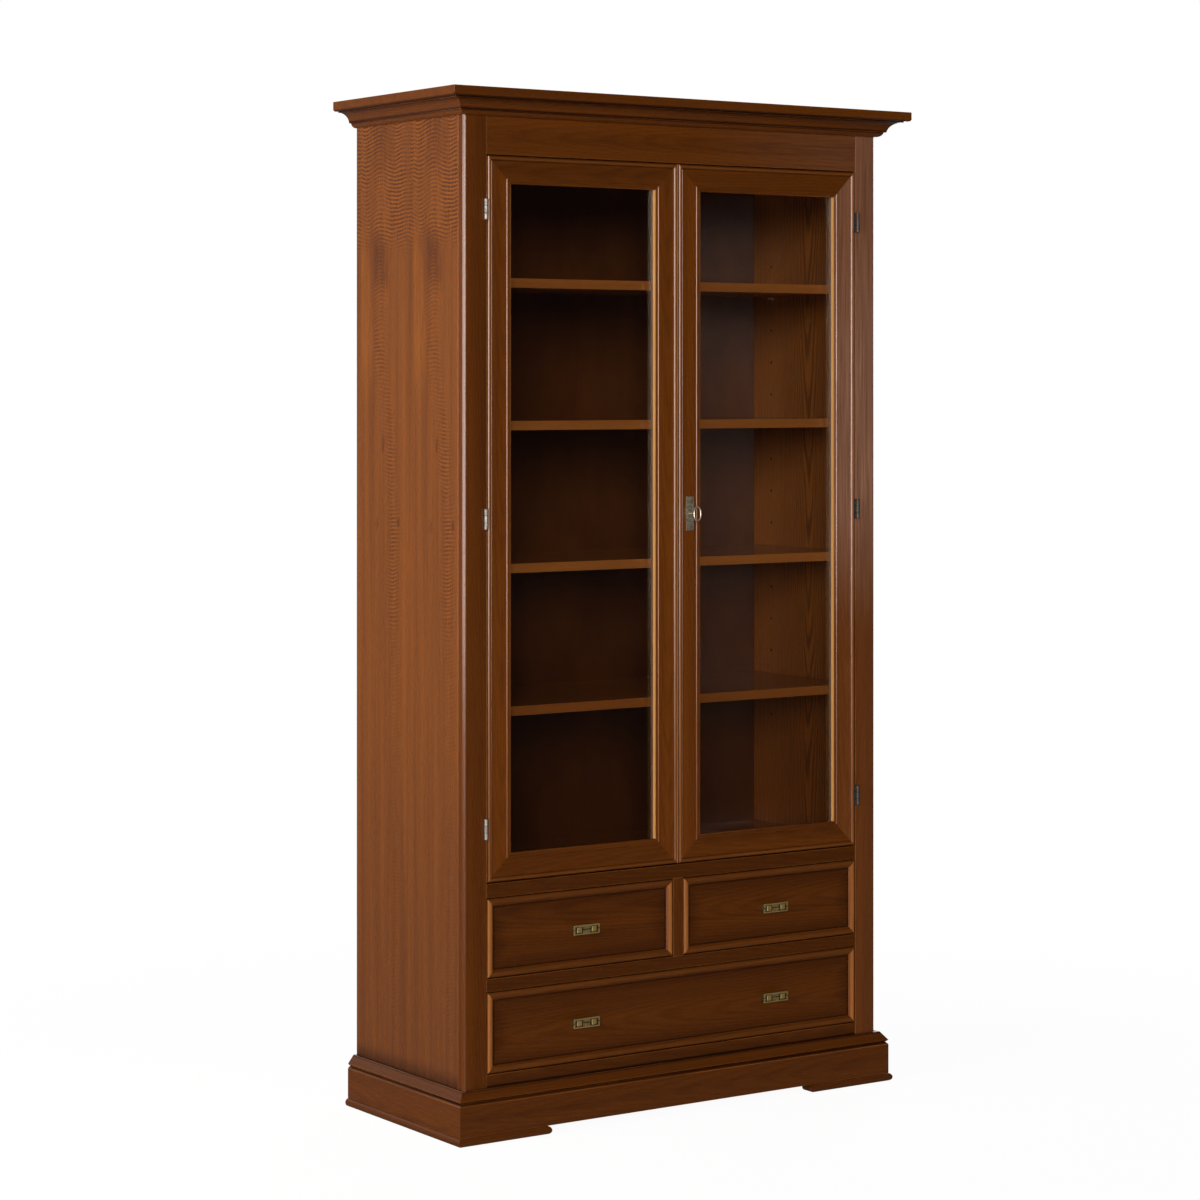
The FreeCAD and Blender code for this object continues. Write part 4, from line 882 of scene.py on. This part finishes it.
class BOOKCASE_OT_cornice(BookcaseOperator):
    """Stains the cornice's slab and mouldings"""

    bl_idname = "bookcase.cornice"
    bl_label = "Cornice"

    def execute(self, context):
        depth = context.scene.bookcase_wood.cornice_stain
        cornice = front_wood("cornice wood", depth=depth, extra=quirk_shade(CORNICE_QUIRKS))
        dress("cornice_slab", [cornice])
        dress("cornice_moulding", [cornice], ends_too=False)
        return {"FINISHED"}


class BOOKCASE_OT_plinth(BookcaseOperator):
    """Stains the plinth, its cap and the feet"""

    bl_idname = "bookcase.plinth"
    bl_label = "Plinth and feet"

    def execute(self, context):
        depth = context.scene.bookcase_wood.plinth_stain
        plinth = front_wood("plinth wood", depth=depth, extra=quirk_shade(PLINTH_QUIRKS))
        for node in ("plinth_boards", "plinth_cap", "left_foot", "right_foot"):
            dress(node, [plinth], ends_too=False)
        return {"FINISHED"}


class BOOKCASE_OT_inside(BookcaseOperator):
    """Stains the shelves, the boards above and below them and the back"""

    bl_idname = "bookcase.inside"
    bl_label = "Inside and back"

    def execute(self, context):
        wood = context.scene.bookcase_wood
        figure = {"streak": 0.8, "fibre": 0.5, "rings": 0.3, "tone": 0.05, "pores": 0.4}
        shelf = timber("shelf wood", stain_of("shelf"), figure, wood.shelf_sheen, painted_shade_below)
        for node in (*SHELVES, "cabinet_ceiling", "cabinet_floor"):
            dress(node, [shelf])
        figure = {"streak": 0.1, "fibre": 0.05, "rings": 0.1, "tone": 0.0, "pores": 0.05, "relief": 0.05}
        back = timber("back board", stain_of("back"), figure, wood.sheen, in_turn(mottled(0.5), painted_shade_below))
        for node in ("bottom_panel", "drawer_shelf", "drawer_partition"):
            dress(node, [back])
        figure = {"streak": 0.7, "fibre": 0.4, "rings": 0.5, "tone": 0.0, "pores": 0.3}
        rear = timber("rear of the back board", stain_of("rear"), figure, wood.rear_sheen)
        dress("back_panel", [rear, back], outward=Vector((0.0, 1.0, 0.0)))
        return {"FINISHED"}


class BOOKCASE_OT_doors(BookcaseOperator):
    """Stains the door frames and the beads that hold the panes"""

    bl_idname = "bookcase.doors"
    bl_label = "Door frames"

    def execute(self, context):
        wood = context.scene.bookcase_wood
        hollow = darkened_hollow(FRAME_HOLLOW)
        # The stiles' edges carry a painted highlight over their wear.
        beads = in_turn(worn_and_lit_crest(wood.crest, BEAD_CREST, amount=0.45), worn_and_lit_edges(wood.edge_highlight), hollow)
        rail_beads = in_turn(worn_and_lit_crest(wood.crest, BEAD_CREST, amount=0.2), hollow)
        # The right door's hinge stile gets the painted sheen as well.
        sheen_paint = in_turn(painted_sheen(wood.painted_sheen_light, wood.painted_sheen_dark), beads)
        upright = front_wood("door stile wood", extra=beads)
        hinged = front_wood("faded door stile wood", extra=sheen_paint)
        cross = front_wood("door rail wood", depth=wood.door_rail_stain, extra=rail_beads)
        glazing = front_wood("glazing bead wood", depth=wood.rail_stain, sheen=wood.bead_sheen)
        for door, stiles in zip(DOORS, ([upright], [hinged, upright])):
            dress(f"{door}_stiles", stiles, ends_too=False)
            dress(f"{door}_rails", [cross], ends_too=False)
            dress(f"{door}_glazing_beads", [glazing], ends_too=False)
        return {"FINISHED"}


class BOOKCASE_OT_panes(BookcaseOperator):
    """Glazes the doors"""

    bl_idname = "bookcase.panes"
    bl_label = "Panes"

    def execute(self, context):
        glass = context.scene.bookcase_glass
        material = pane_glass("pane glass", glass.tint, glass.smear)
        for door in DOORS:
            finish_node(f"{door}_glass", material)
        return {"FINISHED"}


class BOOKCASE_OT_drawers(BookcaseOperator):
    """Stains the drawer fronts and leaves the boxes and guides bare"""

    bl_idname = "bookcase.drawers"
    bl_label = "Drawers"

    def execute(self, context):
        wood = context.scene.bookcase_wood
        figure = {"streak": 0.9, "fibre": 0.4, "rings": 0.2, "tone": 0.03, "pores": 0.4}
        stain = stain_of("front", wood.drawer_stain_and_shade)
        field = timber("drawer field", stain, figure, wood.sheen, darkened_field_border(DRAWER_MOULDING))
        # The uprights keep the front's full brightness and a bright crest: worn wood and painted highlight together.
        rubbed = worn_and_lit_crest(wood.crest_and_highlight, UPRIGHT_CREST, amount=0.7)
        upright = front_wood("upright moulding wood", extra=rubbed)
        rubbed = worn_and_lit_crest(wood.crest, MOULDING_CREST, amount=0.12)
        cross = front_wood("cross moulding wood", depth=wood.drawer_stain_and_shade, extra=rubbed)
        figure = {"streak": 0.8, "fibre": 0.7, "rings": 0.4, "tone": 0.1, "pores": 0.3}
        bare = timber("bare wood", (wood.bare_light, wood.bare_dark, wood.bare_light), figure, BARE_SHEEN)
        for drawer in DRAWERS:
            dress(f"{drawer}_front", [field, upright, upright, cross], ends_too=False)
            dress(f"{drawer}_box", [bare])
        dress("drawer_guides", [bare])
        return {"FINISHED"}


class BOOKCASE_OT_pulls(BookcaseOperator):
    """Darkens the brass of the drawer pulls"""

    bl_idname = "bookcase.pulls"
    bl_label = "Drawer pulls"

    def execute(self, context):
        metal = context.scene.bookcase_metal

        def hollows(finish, shown, spot):
            deep = finish.between(spot[1], *PULL_HOLLOW, 0.0, 0.85)
            rubbed = finish.between(spot[1], *PULL_RUBBED, 0.5, 0.0)
            return finish.mix(rubbed, finish.darken(shown, deep, PULL_STAIN), metal.brass_bright)

        brass = worn_metal(
            "antique brass",
            metal.brass_bright,
            metal.brass_dark,
            roughness=0.4,
            patch=240.0,
            metallic=0.45,
            extra=hollows,
        )
        for drawer in DRAWERS:
            finish_node(f"{drawer}_pull_plates", brass, PULL_EASING)
        for drop in ("left_drawer_drop", "right_drawer_drop", "wide_drawer_drop_1", "wide_drawer_drop_2"):
            finish_node(drop, brass, PULL_EASING)
        return {"FINISHED"}


class BOOKCASE_OT_lock(BookcaseOperator):
    """Finishes the key plate, the key, the lock and the bolts"""

    bl_idname = "bookcase.lock"
    bl_label = "Lock, key and bolts"

    def execute(self, context):
        metal = context.scene.bookcase_metal
        plate = worn_metal(
            "bronzed key plate", metal.plate_bright, metal.plate_dark, roughness=0.4, patch=260.0, metallic=0.45
        )
        plated = worn_metal(
            "plated brass", metal.key_bright, metal.key_dark, roughness=0.28, patch=110.0, metallic=0.8
        )
        steel = worn_metal("oiled steel", metal.steel_bright, metal.steel_dark, roughness=0.34, patch=90.0)
        finish_node("escutcheon", plate)
        for node in ("key", "lock_bolt", "upper_bolt", "lower_bolt", "left_door_fittings"):
            finish_node(node, plated)
        finish_node("lock_case", steel)
        finish_node("back_screws", steel)
        return {"FINISHED"}


class BOOKCASE_OT_hinges(BookcaseOperator):
    """Finishes the hinges and the shelf pins"""

    bl_idname = "bookcase.hinges"
    bl_label = "Hinges and shelf pins"

    def execute(self, context):
        metal = context.scene.bookcase_metal

        def splits(finish, shown, spot):
            # Painted shade in the splits between the knuckles.
            for height in HINGE_HEIGHTS:
                away = finish.sum("ABSOLUTE", finish.sum("SUBTRACT", spot[2], height))
                for mark in HINGE_MARKS:
                    shown = finish.darken(shown, finish.near(away, mark, HINGE_MARK_REACH), DARK_TINT)
            # The hinges at the right end are darker.
            return finish.darken(shown, finish.between(spot[0], -0.1, 0.1), DARK_TINT)

        nickel = worn_metal(
            "dull nickel",
            metal.hinge_bright,
            metal.hinge_dark,
            roughness=0.55,
            patch=160.0,
            metallic=0.3,
            extra=splits,
        )
        for node in ("hinge_post_leaves", "hinge_pins", *(f"{door}_hinge_leaves" for door in DOORS)):
            finish_node(node, nickel)
        brass = worn_metal("pin brass", metal.key_bright, metal.key_dark, roughness=0.3, patch=300.0)
        finish_node("shelf_pins", brass)
        return {"FINISHED"}


# Stage

# The camera of the photo: it stands level, and its picture is shifted.
CAMERA_PLACE = (-3.7033, -5.3370, 1.4409)
CAMERA_TURN = math.radians(34.259)
CAMERA_RISE = -0.1806
CAMERA_SENSOR = 36.0

# The floor: its size, how much paler the camera sees it, its flecks, and from where to where the shadow fades out.
FLOOR_REACH = 30.0
FLOOR_LIFT = 2.2
FLECK_WAVES = (60.0, 60.0, 60.0)
FLECK = (0.85, 0.85, 0.85)
SHADOW_FADE = (0.9, 2.4)

# What shines back from lacquer: the floor from the front to behind, and the backdrop behind and at the right.
FLOOR_SHINE = (-0.8, 0.4, 0.015, 0.12)
BACKDROP_BEHIND = (-0.25, 0.3, 0.01, 1.0)
BACKDROP_RIGHT = (-0.6, 0.4, 0.12, 1.0)

# Each lamp's name and power, degrees round to the left, distance, height and size, and the rays that miss it.
LINE_LAMP = "line lamp"
LAMPS = (
    ("side lamp", "side_power", 85.0, 3.5, 1.55, (3.0, 1.8), "visible_glossy"),
    (LINE_LAMP, "line_power", 65.0, 2.4, 1.5, (4.5, 1.56), "visible_diffuse"),
    ("back lamp", "back_power", -130.0, 4.0, 2.2, (1.6, 1.6), "visible_camera"),
)

# The pieces behind the panes that would mirror the line lamp.
BEHIND_GLASS = ("back_panel", "cabinet_floor", *SHELVES)

# Where the daylight comes from, and how soft it is.
DAY_TURN = math.radians(35)
DAY_RISE = math.radians(12)
DAY_SPREAD = math.radians(20)


def add_lamp(name, kind):
    """A lamp that the camera doesn't see."""
    lamp = bpy.data.objects.new(name, bpy.data.lights.new(name, kind))
    lamp.visible_camera = False
    bpy.context.scene.collection.objects.link(lamp)
    return lamp


def soft_lamp(name, power, turn, distance, height, size, unseen_by):
    """A soft rectangular lamp round to the left of the front by so many degrees, shining level at the middle."""
    lamp = add_lamp(name, "AREA")
    lamp.data.shape = "RECTANGLE"
    lamp.data.size, lamp.data.size_y = size
    lamp.data.energy = power
    angle = math.radians(turn)
    lamp.location = (-math.sin(angle) * distance, -math.cos(angle) * distance, height)
    lamp.rotation_euler = (math.radians(90), 0.0, -angle)
    setattr(lamp, unseen_by, False)
    return lamp


def spare(lamp, pieces):
    """Keeps a lamp's mirror image off some pieces."""
    spared = bpy.data.collections.new(f"{lamp.name} spares")
    for piece in pieces:
        spared.objects.link(piece)
    for entry in spared.collection_objects:
        entry.light_linking.link_state = "EXCLUDE"
    lamp.light_linking.receiver_collection = spared


def daylight(strength):
    """Even soft light from beside the camera and above it."""
    lamp = add_lamp("daylight", "SUN")
    lamp.data.energy = strength
    lamp.data.angle = DAY_SPREAD
    lamp.rotation_euler = (math.radians(90) - DAY_RISE, 0.0, -DAY_TURN)


def paint_floor(paint, shade):
    """A pale floor that is white to the camera but for the bookcase's soft shadow."""
    finish = Finish(bpy.data.materials.new("studio floor"))
    spot = finish.object_place()
    away = finish.put("VectorMath", {0: spot}, operation="LENGTH").outputs["Value"]
    fleck = finish.cloud(spot, FLECK_WAVES, 3.0)
    coat = finish.mix(finish.between(fleck, 0.3, 0.7, 0.0, 0.04), paint, FLECK)
    matt = finish.put("BsdfDiffuse", {"Color": coat})
    brighter = finish.put("VectorMath", {0: coat, "Scale": FLOOR_LIFT}, operation="SCALE")
    lifted = finish.put("BsdfDiffuse", {"Color": brighter.outputs[0]})
    bright = finish.put("Emission", {"Color": (1.0, 1.0, 1.0, 1.0)})
    shadow = finish.between(away, *SHADOW_FADE, shade, 0.0)
    shown = finish.put("MixShader", {0: shadow, 1: bright.outputs[0], 2: lifted.outputs[0]})
    sheen = finish.put("Emission", {"Strength": finish.between(finish.split(spot)[1], *FLOOR_SHINE)})
    path = finish.put("LightPath", {}).outputs
    seen = finish.sum("MAXIMUM", path["Is Camera Ray"], path["Is Transmission Ray"])
    lit = finish.put("MixShader", {0: path["Is Glossy Ray"], 1: matt.outputs[0], 2: sheen.outputs[0]})
    return finish.surface(finish.put("MixShader", {0: seen, 1: lit.outputs[0], 2: shown.outputs[0]}))


def light_room(ambient):
    """A white backdrop behind the bookcase and to its right, and a dim room in front of it."""
    world = bpy.data.worlds.new("studio")
    bpy.context.scene.world = world
    room = Finish(world)
    path = room.put("LightPath", {}).outputs
    towards = room.split(room.put("TexCoord", {}).outputs["Generated"])
    backdrop = room.between(towards[1], *BACKDROP_BEHIND)
    backdrop = room.sum("MULTIPLY", backdrop, room.between(towards[0], *BACKDROP_RIGHT))
    seen = room.sum("MAXIMUM", path["Is Camera Ray"], path["Is Transmission Ray"])
    level = room.sum("MAXIMUM", seen, ambient)
    level = room.put("Mix", {0: path["Is Glossy Ray"], 2: level, 3: backdrop}, data_type="FLOAT").outputs[0]
    shine = room.put("Background", {"Color": (1.0, 1.0, 1.0, 1.0), "Strength": level})
    room.put("OutputWorld", {"Surface": shine.outputs[0]})


class BOOKCASE_OT_stage(BookcaseOperator):
    """Sets the floor, the lamps, the room and the camera"""

    bl_idname = "bookcase.stage"
    bl_label = "Stage"

    def execute(self, context):
        scene = context.scene
        stage = scene.bookcase_stage
        scene.view_settings.view_transform = "Standard"

        mesh = bpy.data.meshes.new("floor")
        corners = [(x * FLOOR_REACH, y * FLOOR_REACH, 0.0) for x, y in ((-1, -1), (1, -1), (1, 1), (-1, 1))]
        mesh.from_pydata(corners, [], [(0, 1, 2, 3)])
        mesh.materials.append(paint_floor(stage.floor, stage.floor_shade))
        floor = bpy.data.objects.new("floor", mesh)
        scene.collection.objects.link(floor)

        panes = [frame["nodes"][f"{door}_glass"] for door in DOORS]
        inside = [bpy.data.objects[f"{node}_finished"] for node in BEHIND_GLASS]
        for name, power, *layout in LAMPS:
            lamp = soft_lamp(name, getattr(stage, power), *layout)
            spare(lamp, panes + inside if name == LINE_LAMP else panes)
        daylight(stage.day)
        light_room(stage.ambient)

        data = bpy.data.cameras.new("photo camera")
        data.sensor_width = CAMERA_SENSOR
        data.lens = stage.lens / MILLIMETRE
        data.shift_y = CAMERA_RISE
        camera = bpy.data.objects.new("photo camera", data)
        camera.location = CAMERA_PLACE
        camera.rotation_euler = (math.radians(90), 0.0, -CAMERA_TURN)
        scene.collection.objects.link(camera)
        scene.camera = camera
        return {"FINISHED"}


OPERATORS = (
    BOOKCASE_OT_side_panels,
    BOOKCASE_OT_front_frame,
    BOOKCASE_OT_cornice,
    BOOKCASE_OT_plinth,
    BOOKCASE_OT_inside,
    BOOKCASE_OT_doors,
    BOOKCASE_OT_panes,
    BOOKCASE_OT_drawers,
    BOOKCASE_OT_pulls,
    BOOKCASE_OT_lock,
    BOOKCASE_OT_hinges,
    BOOKCASE_OT_stage,
)


class BOOKCASE_PT_panel(bpy.types.Panel):
    """Lists the bookcase's steps and what can be changed"""

    bl_idname = "BOOKCASE_PT_panel"
    bl_label = "Bookcase with glass doors"
    bl_space_type = "VIEW_3D"
    bl_region_type = "UI"
    bl_category = "Bookcase"

    def draw(self, context):
        for operator in OPERATORS:
            self.layout.operator(operator.bl_idname)
        for group, kind in GROUPS.items():
            box = self.layout.box()
            for setting in kind.__annotations__:
                box.prop(getattr(context.scene, group), setting)


def register():
    """Makes the settings, the operators and the panel known to Blender."""
    for group, kind in GROUPS.items():
        bpy.utils.register_class(kind)
        setattr(bpy.types.Scene, group, PointerProperty(type=kind))
    for kind in (*OPERATORS, BOOKCASE_PT_panel):
        bpy.utils.register_class(kind)


def unregister():
    """Takes them away again."""
    for kind in reversed((*OPERATORS, BOOKCASE_PT_panel)):
        bpy.utils.unregister_class(kind)
    for group, kind in GROUPS.items():
        delattr(bpy.types.Scene, group)
        bpy.utils.unregister_class(kind)


def main():
    """Finishes the bookcase piece by piece."""
    register()
    for operator in OPERATORS:
        step = operator.bl_idname.partition(".")[2]
        getattr(bpy.ops.bookcase, step)()


if __name__ == "__main__":
    main()
